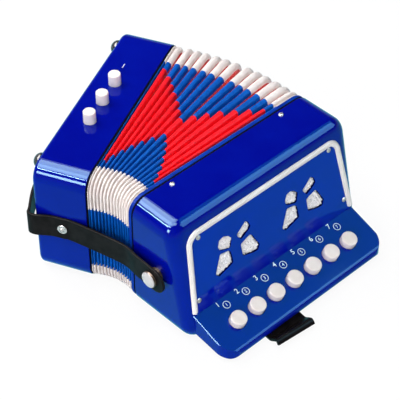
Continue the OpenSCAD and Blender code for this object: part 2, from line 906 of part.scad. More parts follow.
module knob_cap() {
    color("ivory") in_row() on_knob()
        translate([0, 0, knob_head + 1.6])
            rotate_extrude()
                polygon([
                    [0, 0],
                    [knob_radius - 0.2, 0],
                    [knob_radius - 0.2, 0.9],
                    [knob_radius * 0.7, 1.6],
                    [0, 1.8]
                ]);
}

module closing_strap() {
    last = knob_place + strap_end;
    low = strap_height - strap_width / 2;
    path = [for (x = [fan_pivot.x + hinge_gap, 0, knob_place, last]) [x, closing_y(x)]];
    color([0.07, 0.07, 0.07]) in_row() difference() {
        intersection() {
            translate([0, 0, low]) linear_extrude(strap_width) polygon(band(path, strap_thick));
            along_y(-box_length, box_length)
                union() {
                    translate([fan_pivot.x, low])
                        square([last - fan_pivot.x - strap_width / 2, strap_width]);
                    translate([last - strap_width / 2, strap_height]) circle(strap_width / 2);
                }
        }
        on_knob() cylinder(r = knob_neck + fit, h = box_height);
    }
}

module treble_button(k) {
    foot = -lever_drop + lever_thick / 2;
    color("ivory") in_row() on_fingerboard()
        translate([button_row, button_y(k), 0])
            rotate_extrude()
                polygon([
                    [0, foot],
                    [button_radius, foot],
                    [button_radius, button_height - button_bevel],
                    [button_radius - button_bevel, button_height],
                    [0, button_height]
                ]);
}

// A lever: one arm out under its button and one up to its pad, which is glued to it
module treble_lever(k) {
    tip = on_ledge(button_row + 3, -lever_drop);
    backing = 1.6;
    pad_end = pad_at + [backing / 2, 0];
    color("dimgray") in_row() {
        difference() {
            union() {
                along_y(button_y(k) - lever_width / 2, lever_width) {
                    polygon(band([shaft_at, tip], lever_thick));
                    polygon(band([shaft_at, pad_end], lever_thick));
                }
                along_y(button_y(k) - lever_hub_width / 2, lever_hub_width)
                    translate(shaft_at) circle(hub_radius);
                translate([pad_at.x, button_y(k), pad_at.y])
                    rotate([0, 90, 0]) cylinder(r = pad_radius - 1, h = backing);
            }
            along_y(-box_length / 2, box_length) translate(shaft_at) circle(shaft_radius + shaft_gap);
            translate([0, -box_length / 2, 0]) cube([pad_at.x, box_length, box_height]);
        }
        translate([soundboard_face, button_y(k), pad_at.y])
            rotate([0, 90, 0]) cylinder(r = pad_radius, h = pad_thick);
    }
}

// A long section of the bass box, with the two corners at its end rounded
module bass_section(low, high) {
    far = [bass_end, high];
    near = [bass_end, low];
    polygon(concat(
        [[bass_seam, low], [bass_seam, high]],
        corner_arc(far, [bass_seam, high], near, bass_edge_radius, 6),
        corner_arc(near, far, [bass_seam, low], bass_edge_radius, 6)));
}

module bass_case() {
    color("mediumblue") fanned(1) difference() {
        intersection() {
            along_x(bass_end, bass_depth) box_outline(0);
            along_y(-box_length / 2, box_length) bass_section(0, box_height);
            linear_extrude(box_height) bass_section(-box_length / 2, box_length / 2);
        }
        along_x(bass_end + wall, bass_depth) box_outline(wall);
        for (k = [1:valve_count])
            translate([valve_x, valve_y(k), front_inside - 1])
                cylinder(r = bass_button_radius + bass_button_gap, h = wall + 2);
        at_studs() translate([0, 0, -wall - 1]) cylinder(r = screw_shank + screw_gap, h = wall + 2);
        at_strap_screws() translate([0, 0, -wall - 1]) cylinder(r = screw_shank + screw_gap, h = wall + 2);
    }
}

module bass_gasket() {
    color([0.05, 0.05, 0.06]) fanned(1) box_ring(bass_seam, bass_gasket_thick, 0.3, fold_inset + 0.6);
}

module at_studs() {
    for (sy = [-1, 1])
        for (z = [stud_in, box_height - stud_in])
            translate([bass_end, sy * stud_half, z]) rotate([0, -90, 0]) children();
}

module end_studs() {
    ball = (stud_radius * stud_radius + stud_height * stud_height) / (2 * stud_height);
    color("gainsboro") fanned(1) at_studs() {
        intersection() {
            translate([0, 0, stud_height - ball]) sphere(ball);
            cylinder(r = stud_radius, h = stud_height);
        }
        translate([0, 0, -wall - 2]) cylinder(r = screw_shank, h = wall + 2 + eps);
    }
}

module at_strap_screws() {
    for (sy = [-1, 1])
        translate([bass_seam - screw_in, sy * box_length / 2, strap_height])
            rotate([-90 * sy, 0, 0]) children();
}

module strap_screws() {
    seat = strap_thick + 2 * fit;
    color("gainsboro") fanned(1) at_strap_screws()
        rotate_extrude()
            polygon([
                [0, -wall - 2],
                [screw_shank, -wall - 2],
                [screw_shank, seat],
                [washer_radius, seat],
                [washer_radius, seat + 0.6],
                [washer_radius - 1, seat + 0.6],
                [washer_radius - 1.3, seat + 1.4],
                [0, seat + 1.9]
            ]);
}

module valve_plate() {
    rear = bass_end + wall + fit;
    front = bass_seam - 9.5;
    half = bass_button_pitch * 2;
    color("burlywood") fanned(1) difference() {
        translate([rear, -half, valve_plate_low]) cube([front - rear, 2 * half, valve_plate_thick]);
        for (k = [1:valve_count])
            translate([valve_x, valve_y(k), valve_plate_low - 1])
                cylinder(r = valve_hole, h = valve_plate_thick + 2);
    }
}

module bass_reed_block() {
    outer = 2 * valve_block_half;
    color("tan") fanned(1) difference() {
        translate([valve_x - valve_block_half, valve_y(1) - valve_block_half, valve_plate_top])
            cube([outer, (valve_count - 1) * bass_button_pitch + outer, bass_block_height]);
        for (k = [1:valve_count])
            translate([valve_x, valve_y(k), valve_plate_top]) {
                translate([-valve_chamber / 2, -valve_chamber / 2, -1])
                    cube([valve_chamber, valve_chamber, bass_block_height - 1]);
                cylinder(r = stem_radius + 0.4, h = bass_block_height + 1);
            }
    }
}

module bass_reed_plates() {
    color("goldenrod") fanned(1)
        for (k = [1, 2])
            for (sx = [-1, 1])
                translate([
                    valve_x + sx * (valve_block_half + reed_plate_thick / 2) - reed_plate_thick / 2,
                    valve_y(k) - reed_plate_width / 2,
                    valve_plate_top + 1
                ])
                    difference() {
                        cube([reed_plate_thick, reed_plate_width, bass_block_height - 2]);
                        for (slot = [0.28, 0.72])
                            translate([-1, reed_plate_width * slot - 1, 1.5])
                                cube([reed_plate_thick + 2, 2, bass_block_height - 5]);
                    }
}

// A bass button is the head of a stem whose pad closes a hole in the valve plate from below
module bass_button(k) {
    top = box_height + bass_button_height;
    color("ivory") fanned(1) translate([valve_x, valve_y(k), 0]) {
        rotate_extrude()
            polygon([
                [0, valve_plate_low - pad_thick],
                [stem_radius, valve_plate_low - pad_thick],
                [stem_radius, valve_flange_low],
                [bass_button_radius + 1.6, valve_flange_low],
                [bass_button_radius + 1.6, valve_flange_top],
                [bass_button_radius, valve_flange_top],
                [bass_button_radius, top - button_bevel],
                [bass_button_radius - button_bevel, top],
                [0, top]
            ]);
        translate([0, 0, valve_plate_low - pad_thick])
            difference() {
                cylinder(r = bass_pad_radius, h = pad_thick);
                translate([0, 0, -1]) cylinder(r = stem_radius, h = pad_thick + 2);
            }
    }
}

valve_spring_room = valve_flange_low - valve_block_top - 2 * spring_wire - 2 * fit;
valve_spring_mean = stem_radius + 1.6;

module valve_spring(k) {
    color("silver") fanned(1)
        translate([valve_x, valve_y(k), valve_block_top + spring_wire + fit])
            coil(valve_spring_mean, valve_spring_turns, valve_spring_room / valve_spring_turns);
}

// The hand strap: from the far screw round the bass box's end to the strap's hinge
module hand_strap() {
    side = box_length / 2 + strap_thick / 2 + fit;
    low = strap_height - strap_width / 2;
    loose = strap_thick / 2 + 3.3;
    function beside(x, out) = [bass_seam - x, -(side + out)];
    function bowed(y, out) = [bass_end - out, y];
    near = [
        bowed(-box_length * 0.25, hand_bow - 0.6),
        bowed(-box_length * 0.38, hand_bow - 3.4),
        bowed(-box_length / 2 + 2, loose + 0.4),
        bowed(-box_length / 2 - loose + 1, loose - 1.3),
        beside(bass_depth - 3, loose - 1.4),
        beside(screw_in + 9, 0.3),
        beside(screw_in, 0),
        beside(screw_in - 9, 0.3)
    ];
    far = [for (i = [len(near) - 1:-1:0]) [near[i].x, -near[i].y]];
    hinge = [fan_pivot.x - hinge_gap, fan_pivot.y];
    path = curve(concat(far, [bowed(0, hand_bow)], near, [hinge]), 4);
    color([0.07, 0.07, 0.07]) fanned(1) difference() {
        translate([0, 0, low]) linear_extrude(strap_width) polygon(band(path, strap_thick));
        at_strap_screws() cylinder(r = screw_shank + screw_gap, h = strap_thick * 3);
    }
}

echo("least gap in a lever spring, mm", least_gap(lever_spring_mean, spring_turns, spring_pitch));
echo("least gap in a valve spring, mm",
    least_gap(valve_spring_mean, valve_spring_turns, valve_spring_room / valve_spring_turns));

treble_case();
grille_panel();
panel_trim();
grille_cloth();
fingerboard();
thumb_rest();
treble_soundboard();
treble_reed_block();
treble_reed_plates();
lever_shaft();
lever_springs();
treble_screws();
treble_gasket();
bellows_frame();
strap_knob();
knob_cap();
closing_strap();
for (k = [1:button_count])
    treble_button(k);
for (k = [1:button_count])
    treble_lever(k);
for (i = [1:fold_count])
    bellows_fold(i);
bass_case();
bass_gasket();
end_studs();
valve_plate();
bass_reed_block();
bass_reed_plates();
hand_strap();
strap_screws();
for (k = [1:valve_count])
    bass_button(k);
for (k = [1:valve_count])
    valve_spring(k);
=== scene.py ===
# %% [markdown]
# # A toy button accordion
# The instrument lies on its back on a white table: a treble box with seven buttons on the right, a
# bass box with three buttons on the left, and folded bellows between them, opened like a fan. The
# solids come in as a frame. Every piece that shows is then made again here, with the roundings, tapes,
# grain and gloss of the real one.

import math

import bpy
from mathutils import Matrix, Vector


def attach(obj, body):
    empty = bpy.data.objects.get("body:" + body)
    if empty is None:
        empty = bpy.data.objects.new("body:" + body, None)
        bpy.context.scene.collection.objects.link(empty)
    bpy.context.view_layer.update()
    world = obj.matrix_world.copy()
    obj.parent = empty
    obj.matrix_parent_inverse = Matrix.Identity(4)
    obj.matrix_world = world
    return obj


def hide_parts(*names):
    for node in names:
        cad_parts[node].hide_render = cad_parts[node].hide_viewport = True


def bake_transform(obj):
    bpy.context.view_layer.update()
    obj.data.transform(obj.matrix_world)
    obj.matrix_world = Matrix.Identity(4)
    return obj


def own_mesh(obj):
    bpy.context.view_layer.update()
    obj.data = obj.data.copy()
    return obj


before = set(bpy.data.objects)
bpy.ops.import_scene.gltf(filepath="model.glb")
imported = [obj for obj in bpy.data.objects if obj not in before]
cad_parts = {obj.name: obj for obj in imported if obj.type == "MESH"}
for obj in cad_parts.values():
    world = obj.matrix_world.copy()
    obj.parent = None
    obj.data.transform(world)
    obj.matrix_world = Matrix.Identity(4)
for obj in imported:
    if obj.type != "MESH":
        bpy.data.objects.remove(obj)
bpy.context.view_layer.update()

# %% [markdown]
# ## Measures and planes
# All sizes are in millimetres and are measured from the seam of the treble box, as a maker would draw
# them. Five drawing planes carry them into the frame: the front face, the box's end view, its side
# view, the sloping grille side and the sloping fingerboard. A piece could be drawn flat and turned
# into place, but drawing it on the plane that it lies on keeps its numbers plain.

# %% Measures of the boxes
MM = 0.001
ROW_X = 29.8076
BOX_LENGTH, BOX_HEIGHT, BOX_CORNER, WALL = 174.0, 97.5, 13.0, 2.4
HALF_LENGTH = BOX_LENGTH / 2
CORNER_Y = HALF_LENGTH - BOX_CORNER
CORNER_TOP, CORNER_LOW = BOX_HEIGHT - BOX_CORNER, BOX_CORNER
TREBLE_DEPTH, BASS_DEPTH = 38.0, 41.0
PANEL_SLOPE, LEDGE_SLOPE = math.radians(12.5), math.radians(20.0)
LEDGE_ROOT = 23.0
TREBLE_SEAL, BASS_SEAL = 1.6, 1.5
FLANGE_X, FOLDS, FOLD_PITCH, FOLD_STEPS = -4.6, 13, 2.42, 13.7
BASS_SEAM = FLANGE_X - FOLD_PITCH * FOLD_STEPS - BASS_SEAL
BASS_END = BASS_SEAM - BASS_DEPTH
FAN_ANGLE, PIVOT_OUT = math.radians(25.5), 4.0


def panel_x(z):
    return TREBLE_DEPTH + (BOX_HEIGHT - z) * math.tan(PANEL_SLOPE)


def in_row(x, y, z):
    return Vector((x - ROW_X, y, z)) * MM


def on_front(a, b, h):
    return in_row(a, b, h)


def on_end(a, b, h):
    return in_row(h, a, b)


def on_side(a, b, h):
    return in_row(a, h, b)


def on_panel(a, b, h):
    c, s = math.cos(PANEL_SLOPE), math.sin(PANEL_SLOPE)
    return in_row(TREBLE_DEPTH + h * c - b * s, a, BOX_HEIGHT + h * s + b * c)


def on_ledge(a, b, h):
    c, s = math.cos(LEDGE_SLOPE), math.sin(LEDGE_SLOPE)
    return in_row(panel_x(LEDGE_ROOT) + a * c + h * s, b, LEDGE_ROOT - a * s + h * c)


FAN_PIVOT = in_row(BASS_SEAM / 2, -HALF_LENGTH - PIVOT_OUT, 0)


def fanned(share):
    there = Matrix.Translation(FAN_PIVOT)
    return there @ Matrix.Rotation(FAN_ANGLE * share, 4, "Z") @ there.inverted()


print("bass seam", round(BASS_SEAM, 2), "pivot", [round(v / MM, 2) for v in FAN_PIVOT])

# %% [markdown]
# ## A few workshop moves
# The same moves return for every piece: draw an outline and pull it into a slab, wrap a grid round a
# row of sections, cut one shape with another, round the edges, smooth the shading. Each is a small
# function of Blender's own operators, so the pieces below read as steps at a bench.


# %% Selecting and applying
def clear_selection():
    if bpy.context.object and bpy.context.object.mode != "OBJECT":
        bpy.ops.object.mode_set(mode="OBJECT")
    bpy.ops.object.select_all(action="DESELECT")


def pick(*objs):
    clear_selection()
    for obj in objs:
        obj.select_set(True)
    bpy.context.view_layer.objects.active = objs[0]


def apply_modifiers(obj):
    pick(obj)
    for mod in list(obj.modifiers):
        bpy.ops.object.modifier_apply(modifier=mod.name)


def tidy_mesh(obj, threshold=1e-6):
    pick(obj)
    bpy.ops.object.mode_set(mode="EDIT")
    bpy.ops.mesh.select_all(action="SELECT")
    bpy.ops.mesh.remove_doubles(threshold=threshold)
    bpy.ops.mesh.dissolve_degenerate(threshold=threshold)
    bpy.ops.mesh.normals_make_consistent(inside=False)
    bpy.ops.object.mode_set(mode="OBJECT")


def put(obj, matrix):
    obj.matrix_world = matrix
    pick(obj)
    bpy.ops.object.transform_apply(location=True, rotation=True, scale=True)
    return obj


def join(name, pieces):
    pick(*pieces)
    bpy.ops.object.join()
    obj = bpy.context.object
    obj.name = name
    return obj


def copy_of(obj, name):
    pick(obj)
    bpy.ops.object.duplicate(linked=False)
    twin = bpy.context.object
    twin.name = name
    return twin


# %% Slabs, wraps and turned shapes
def slab(name, outline, plane, low, high):
    clear_selection()
    bpy.ops.mesh.primitive_circle_add(vertices=len(outline), fill_type="NGON")
    obj = bpy.context.object
    obj.name = name
    for vert, (a, b) in zip(obj.data.vertices, outline):
        vert.co = plane(a, b, low)
    bpy.ops.object.mode_set(mode="EDIT")
    bpy.ops.mesh.select_all(action="SELECT")
    pull = plane(0, 0, high) - plane(0, 0, low)
    bpy.ops.mesh.extrude_region_move(TRANSFORM_OT_translate={"value": pull})
    bpy.ops.mesh.select_all(action="SELECT")
    bpy.ops.mesh.normals_make_consistent(inside=False)
    bpy.ops.object.mode_set(mode="OBJECT")
    return obj


def wrap(name, rows, capped=True):
    columns = len(rows[0])
    clear_selection()
    bpy.ops.mesh.primitive_grid_add(x_subdivisions=columns - 1, y_subdivisions=len(rows) - 1, size=1)
    obj = bpy.context.object
    obj.name = name
    for k, vert in enumerate(obj.data.vertices):
        vert.co = rows[k // columns][k % columns]
    bpy.ops.object.mode_set(mode="EDIT")
    bpy.ops.mesh.select_all(action="SELECT")
    bpy.ops.mesh.remove_doubles(threshold=1e-6)
    if capped:
        bpy.ops.mesh.select_mode(type="EDGE")
        bpy.ops.mesh.select_all(action="DESELECT")
        bpy.ops.mesh.select_non_manifold()
        bpy.ops.mesh.fill_holes(sides=0)
    bpy.ops.mesh.select_all(action="SELECT")
    bpy.ops.mesh.normals_make_consistent(inside=False)
    bpy.ops.object.mode_set(mode="OBJECT")
    return obj


def turned(name, profile, steps=48):
    clear_selection()
    bpy.ops.mesh.primitive_circle_add(vertices=len(profile), fill_type="NOTHING")
    obj = bpy.context.object
    obj.name = name
    for vert, (radius, height) in zip(obj.data.vertices, profile):
        vert.co = Vector((radius, 0, height)) * MM
    bpy.ops.object.mode_set(mode="EDIT")
    bpy.ops.mesh.select_all(action="SELECT")
    bpy.ops.mesh.spin(steps=steps, angle=2 * math.pi, center=(0, 0, 0), axis=(0, 0, 1))
    bpy.ops.object.mode_set(mode="OBJECT")
    tidy_mesh(obj)
    return obj


# %% Cutting, rounding and smoothing
def cut(obj, *cutters, how="DIFFERENCE", solver="EXACT"):
    for cutter in cutters:
        mod = obj.modifiers.new("cut", "BOOLEAN")
        mod.operation, mod.solver, mod.object = how, solver, cutter
        apply_modifiers(obj)
        bpy.data.objects.remove(cutter, do_unlink=True)
    return obj


def round_edges(obj, radius_of, segments=10, widest=BOX_CORNER):
    weights = obj.data.attributes.get("bevel_weight_edge")
    weights = weights or obj.data.attributes.new("bevel_weight_edge", "FLOAT", "EDGE")
    for edge in obj.data.edges:
        ends = [obj.data.vertices[i].co for i in edge.vertices]
        middle, way = (ends[0] + ends[1]) / 2 / MM, (ends[1] - ends[0]).normalized()
        weights.data[edge.index].value = radius_of(middle, way) / widest
    mod = obj.modifiers.new("round", "BEVEL")
    mod.limit_method, mod.offset_type = "WEIGHT", "OFFSET"
    mod.width, mod.segments, mod.use_clamp_overlap = widest * MM, segments, False
    apply_modifiers(obj)
    return obj


def soften(obj, width, segments=3, degrees=35):
    mod = obj.modifiers.new("soften", "BEVEL")
    mod.limit_method, mod.angle_limit = "ANGLE", math.radians(degrees)
    mod.width, mod.segments = width * MM, segments
    apply_modifiers(obj)
    return obj


def smooth(obj, degrees=32):
    pick(obj)
    bpy.ops.object.shade_smooth_by_angle(angle=math.radians(degrees))
    mod = obj.modifiers.new("even", "WEIGHTED_NORMAL")
    mod.keep_sharp = True
    apply_modifiers(obj)
    return obj


def dress(obj, finish, slot, body, *nodes):
    obj.data.materials.clear()
    obj.data.materials.append(finish)
    if body:
        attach(obj, body)
    if nodes:
        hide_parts(*nodes)
    print(obj.name, "rides", body, "faces", len(obj.data.polygons))
    return obj


# %% Plane outlines
def arc(middle, radius, start, stop, steps):
    turn = [math.radians(start + (stop - start) * k / steps) for k in range(steps + 1)]
    return [(middle[0] + radius * math.cos(t), middle[1] + radius * math.sin(t)) for t in turn]


def rounded(points, radius, steps=6):
    outline = []
    for k, point in enumerate(points):
        p, a, b = (Vector(v) for v in (point, points[k - 1], points[(k + 1) % len(points)]))
        u, v = (a - p).normalized(), (b - p).normalized()
        half = u.angle(v) / 2
        middle = p + (u + v).normalized() * radius / math.sin(half)
        first = p + u * radius / math.tan(half) - middle
        last = p + v * radius / math.tan(half) - middle
        turn = first.angle_signed(last)
        for step in range(steps + 1):
            outline.append(tuple(middle + Matrix.Rotation(-turn * step / steps, 2) @ first))
    return outline


def box_outline(inset, steps=8):
    r = max(BOX_CORNER - inset, 0.8)
    return (
        arc((CORNER_Y, CORNER_TOP), r, 0, 90, steps)
        + arc((-CORNER_Y, CORNER_TOP), r, 90, 180, steps)
        + arc((-CORNER_Y, CORNER_LOW), r, 180, 270, steps)
        + arc((CORNER_Y, CORNER_LOW), r, 270, 360, steps)
    )


def smooth_path(points, steps):
    path = []
    for i in range(len(points) - 1):
        a, b = points[max(i - 1, 0)], points[i]
        c, d = points[i + 1], points[min(i + 2, len(points) - 1)]
        for k in range(steps):
            t = k / steps
            square, cube = 2 * a - 5 * b + 4 * c - d, 3 * b - a - 3 * c + d
            path.append(0.5 * (2 * b + (c - a) * t + square * t**2 + cube * t**3))
    return path + [points[-1]]


# %% [markdown]
# ## Finishes
# Nothing on the instrument is one flat colour. Moulded plastic has a faint mottle and a gloss that is
# not quite even, paper tape has a fine tooth, cloth has threads, imitation leather has a pebbled
# grain. Painted pictures could carry all this, but a noise on the object's own coordinates needs no
# file and no unwrapping. So one recipe mixes two near shades with such a noise and adds a grain as
# bump, and each finish sets it. The blue plastics also tint what they reflect, because the sheen on
# the real boxes is blue and not grey.


# %% The recipe
SHADE_LOW, SHADE_HIGH, REFRACTION = 0.36, 0.64, 1.5


def recipe(name, deep, pale, patch, rough, grain=0.0, grain_size=0.3, metal=0.0, tint=None, shine=0.5):
    mat = bpy.data.materials.new(name)
    mat.use_nodes = True
    nodes, links = mat.node_tree.nodes, mat.node_tree.links
    shader = nodes["Principled BSDF"]
    where = nodes.new("ShaderNodeTexCoord")
    mottle = nodes.new("ShaderNodeTexNoise")
    mottle.inputs["Scale"].default_value = 1 / (patch * MM)
    mottle.inputs["Detail"].default_value = 4
    shades = nodes.new("ShaderNodeValToRGB")
    low, high = shades.color_ramp.elements
    low.position, high.position = SHADE_LOW, SHADE_HIGH
    low.color, high.color = (*deep, 1), (*pale, 1)
    links.new(where.outputs["Object"], mottle.inputs["Vector"])
    links.new(mottle.outputs["Fac"], shades.inputs["Fac"])
    links.new(shades.outputs["Color"], shader.inputs["Base Color"])
    shader.inputs["Roughness"].default_value = rough
    shader.inputs["Metallic"].default_value = metal
    shader.inputs["IOR"].default_value = REFRACTION
    shader.inputs["Specular IOR Level"].default_value = shine
    if tint:
        shader.inputs["Specular Tint"].default_value = (*tint, 1)
    if grain:
        tooth = nodes.new("ShaderNodeTexNoise")
        tooth.inputs["Scale"].default_value = 1 / (grain_size * MM)
        tooth.inputs["Detail"].default_value = 3
        bump = nodes.new("ShaderNodeBump")
        bump.inputs["Strength"].default_value = 1.0
        bump.inputs["Distance"].default_value = grain * MM
        links.new(where.outputs["Object"], tooth.inputs["Vector"])
        links.new(tooth.outputs["Fac"], bump.inputs["Height"])
        links.new(bump.outputs["Normal"], shader.inputs["Normal"])
    return mat


# %% Plastics, paper, metal and leather
BLUE_TINT, PANEL_TINT = (0.5, 0.85, 1.0), (0.1, 0.8, 1.0)
blue_gloss = recipe("blue_gloss", (0.0, 0.002, 0.24), (0.0, 0.004, 0.27), 40, 0.07, 0.012, 12.0,
                    tint=BLUE_TINT, shine=0.28)
panel_gloss = recipe("panel_gloss", (0.0, 0.003, 0.34), (0.0, 0.005, 0.38), 40, 0.05, 0.008, 9.0,
                     tint=PANEL_TINT, shine=0.5)
# Painted shade: the cut walls are the panel's own blue plastic, coloured dark navy as the shadow in the
# holes.
painted_wall_shade = recipe("painted_wall_shade", (0.0, 0.0, 0.050), (0.0, 0.001, 0.075), 3, 0.6, 0.02, 0.5, shine=0.02)
frame_blue = recipe("frame_blue", (0.0, 0.022, 0.27), (0.0, 0.040, 0.36), 12, 0.4, 0.01, 0.8, shine=0.04)
cream = recipe("cream", (0.80, 0.75, 0.70), (0.86, 0.82, 0.77), 15, 0.34, 0.006, 4.0, shine=0.25)
button_white = recipe("button_white", (0.87, 0.77, 0.69), (0.91, 0.82, 0.75), 8, 0.32, 0.006, 2.0,
                      shine=0.2)
black_gloss = recipe("black_gloss", (0.005, 0.004, 0.004), (0.010, 0.008, 0.008), 10, 0.26, 0.01, 3.0,
                     shine=0.05)
gasket_black = recipe("gasket_black", (0.001, 0.001, 0.003), (0.004, 0.004, 0.007), 1.5, 0.7, 0.06, 0.5,
                      shine=0.01)
strap_black = recipe("strap_black", (0.008, 0.006, 0.006), (0.014, 0.012, 0.012), 6, 0.42, 0.06, 0.55,
                     shine=0.04)
bronze = recipe("bronze", (0.07, 0.045, 0.03), (0.16, 0.11, 0.08), 2.5, 0.32, 0.02, 0.6, metal=0.5)
nickel = recipe("nickel", (0.46, 0.43, 0.41), (0.58, 0.55, 0.53), 2, 0.22, 0.004, 0.4, metal=0.3)
dark_chrome = recipe("dark_chrome", (0.05, 0.045, 0.045), (0.09, 0.085, 0.085), 2, 0.16, 0.004, 0.4,
                     metal=0.4)
face_grey = recipe("face_grey", (0.50, 0.48, 0.47), (0.58, 0.56, 0.55), 6, 0.3, 0.006, 2.0, shine=0.3)
tape_white = recipe("tape_white", (0.76, 0.67, 0.64), (0.84, 0.77, 0.73), 5, 0.45, 0.02, 0.5, shine=0.2)
tape_blue = recipe("tape_blue", (0.0, 0.075, 0.38), (0.001, 0.100, 0.46), 4, 0.38, 0.02, 0.4, shine=0.06)
tape_red = recipe("tape_red", (0.84, 0.004, 0.012), (0.90, 0.009, 0.019), 4, 0.38, 0.02, 0.4, shine=0.1)
pale_wood = recipe("pale_wood", (0.44, 0.26, 0.11), (0.58, 0.38, 0.19), 3, 0.55, 0.03, 0.8)
reed_brass = recipe("reed_brass", (0.55, 0.34, 0.08), (0.66, 0.45, 0.14), 3, 0.3, 0.01, 0.3, metal=1.0)
wire_steel = recipe("wire_steel", (0.38, 0.38, 0.40), (0.50, 0.50, 0.52), 1, 0.28, metal=1.0)
lever_grey = recipe("lever_grey", (0.09, 0.09, 0.095), (0.14, 0.14, 0.145), 5, 0.5, 0.02, 0.6)
print("finishes", len(bpy.data.materials))

# %% [markdown]
# Two finishes have a pattern of their own. The folds of the bellows are red paper flecked with white,
# and the grille cloth is an open white weave with grey flecks between its threads. Noise would give
# blotches, so a cell pattern gives the flecks: each cell's distance from its middle, cut off near
# zero, leaves small dots.


# %% Flecked paper and grille cloth
FLECK_EDGE = 0.08


def flecked(name, ground, other, fleck, cell, share, rough, grain):
    mat = recipe(name, ground, other, 3, rough, grain, 0.5)
    nodes, links = mat.node_tree.nodes, mat.node_tree.links
    shader, where = nodes["Principled BSDF"], nodes["Texture Coordinate"]
    cells = nodes.new("ShaderNodeTexVoronoi")
    cells.inputs["Scale"].default_value = 1 / (cell * MM)
    edge = nodes.new("ShaderNodeValToRGB")
    inner, outer = edge.color_ramp.elements
    inner.position, outer.position = share, share + FLECK_EDGE
    inner.color, outer.color = (1, 1, 1, 1), (0, 0, 0, 1)
    mix = nodes.new("ShaderNodeMix")
    mix.data_type = "RGBA"
    mix.inputs["B"].default_value = (*fleck, 1)
    ground_link = shader.inputs["Base Color"].links[0].from_socket
    links.new(where.outputs["Object"], cells.inputs["Vector"])
    links.new(cells.outputs["Distance"], edge.inputs["Fac"])
    links.new(edge.outputs["Color"], mix.inputs["Factor"])
    links.new(ground_link, mix.inputs["A"])
    links.new(mix.outputs["Result"], shader.inputs["Base Color"])
    return mat


red_paper = flecked("red_paper", (0.62, 0.02, 0.02), (0.74, 0.05, 0.04), (0.85, 0.62, 0.55),
                    0.9, 0.22, 0.6, 0.03)
cloth_white = flecked("cloth_white", (0.82, 0.78, 0.76), (0.95, 0.92, 0.90), (0.42, 0.42, 0.44),
                      1.2, 0.13, 0.8, 0.25)
print("flecked", red_paper.name, cloth_white.name)

# %% [markdown]
# ## The treble box
# A hollow moulding: five walls, open where it meets the bellows, with long edges rounded like a soap
# bar and one side sloping. A cube is moved into that shape by its eight corners. Its four long edges
# are bevelled first, and the rims of its two ends after that, each by its own radius: done at once,
# the bevels would meet in a spike. The hollow, the panel's seat and the slot for the levers are cut
# out afterwards.


# %% Boxes with rounded edges
def six_sided(name, seam_x, far_x, inset):
    clear_selection()
    bpy.ops.mesh.primitive_cube_add(size=2)
    obj = bpy.context.object
    obj.name = name
    for vert in obj.data.vertices:
        x_side, y_side, z_side = vert.co
        z = BOX_HEIGHT - inset if z_side > 0 else inset
        x = far_x(z) if (x_side > 0) == (far_x(z) > seam_x) else seam_x
        vert.co = in_row(x, y_side * (HALF_LENGTH - inset), z)
    tidy_mesh(obj)
    return obj


def runs_along(way):
    return abs(way.x) > 0.9


def long_edges(radius):
    return lambda middle, way: radius if runs_along(way) else 0.0


# %% The treble moulding
SEAM_EDGE, UPRIGHT_EDGE, TOP_EDGE, LOW_EDGE, ON_FACE = 0.5, 10.0, 7.2, 12.0, 0.01


def treble_rims(middle, way):
    x = middle.x + ROW_X
    if abs(x) < ON_FACE:
        return SEAM_EDGE
    if abs(x - panel_x(middle.z)) > ON_FACE or runs_along(way):
        return 0.0
    upright = way.z**2 / (way.y**2 + way.z**2)
    level_edge = TOP_EDGE if middle.z > BOX_HEIGHT / 2 else LOW_EDGE
    return UPRIGHT_EDGE * upright + level_edge * (1 - upright)


def treble_outside(name):
    box = round_edges(six_sided(name, 0.0, panel_x, 0.0), long_edges(BOX_CORNER), 12)
    return round_edges(box, treble_rims, 8)


PANEL_TOP, PANEL_LOW = -13.0, -(BOX_HEIGHT - LEDGE_ROOT) / math.cos(PANEL_SLOPE)
PANEL_HALF_TOP, PANEL_HALF_LOW, PANEL_CORNER, PANEL_THICK, PANEL_RIM = 73.0, 79.5, 9.0, 2.4, 7.0
PANEL_WALL, PANEL_STEPS = 4.9, 10
LEVER_SLOT = [(-14, -63), (8, -63), (8, 63), (-14, 63)]
PANEL_SPLAY = (PANEL_HALF_LOW - PANEL_HALF_TOP) / (PANEL_TOP - PANEL_LOW)


def panel_outline(inset, low):
    top_half = PANEL_HALF_TOP - inset + PANEL_SPLAY * inset
    low_half = PANEL_HALF_LOW - inset
    low_corners = [(-low_half, PANEL_LOW + low), (low_half, PANEL_LOW + low)]
    top_corners = [(top_half, PANEL_TOP - inset), (-top_half, PANEL_TOP - inset)]
    corner = max(PANEL_CORNER - inset, 1.5)
    outline = rounded(low_corners + top_corners, corner, PANEL_STEPS)
    return low_corners + outline[2 * (PANEL_STEPS + 1):]


treble_box = treble_outside("treble_box")
hollow = six_sided("hollow", -4.0, lambda z: panel_x(z) - PANEL_WALL, WALL)
cut(
    treble_box,
    round_edges(hollow, long_edges(BOX_CORNER - WALL), 6),
    slab("seat", panel_outline(-0.1, -0.6), on_panel, -PANEL_THICK - 0.02, 4.0),
    slab("opening", panel_outline(PANEL_RIM, PANEL_RIM), on_panel, -9.0, 1.0),
    slab("slot", LEVER_SLOT, on_ledge, -7.6, -2.6),
)
dress(smooth(treble_box), blue_gloss, "blue_shell", "treble", "treble_case")
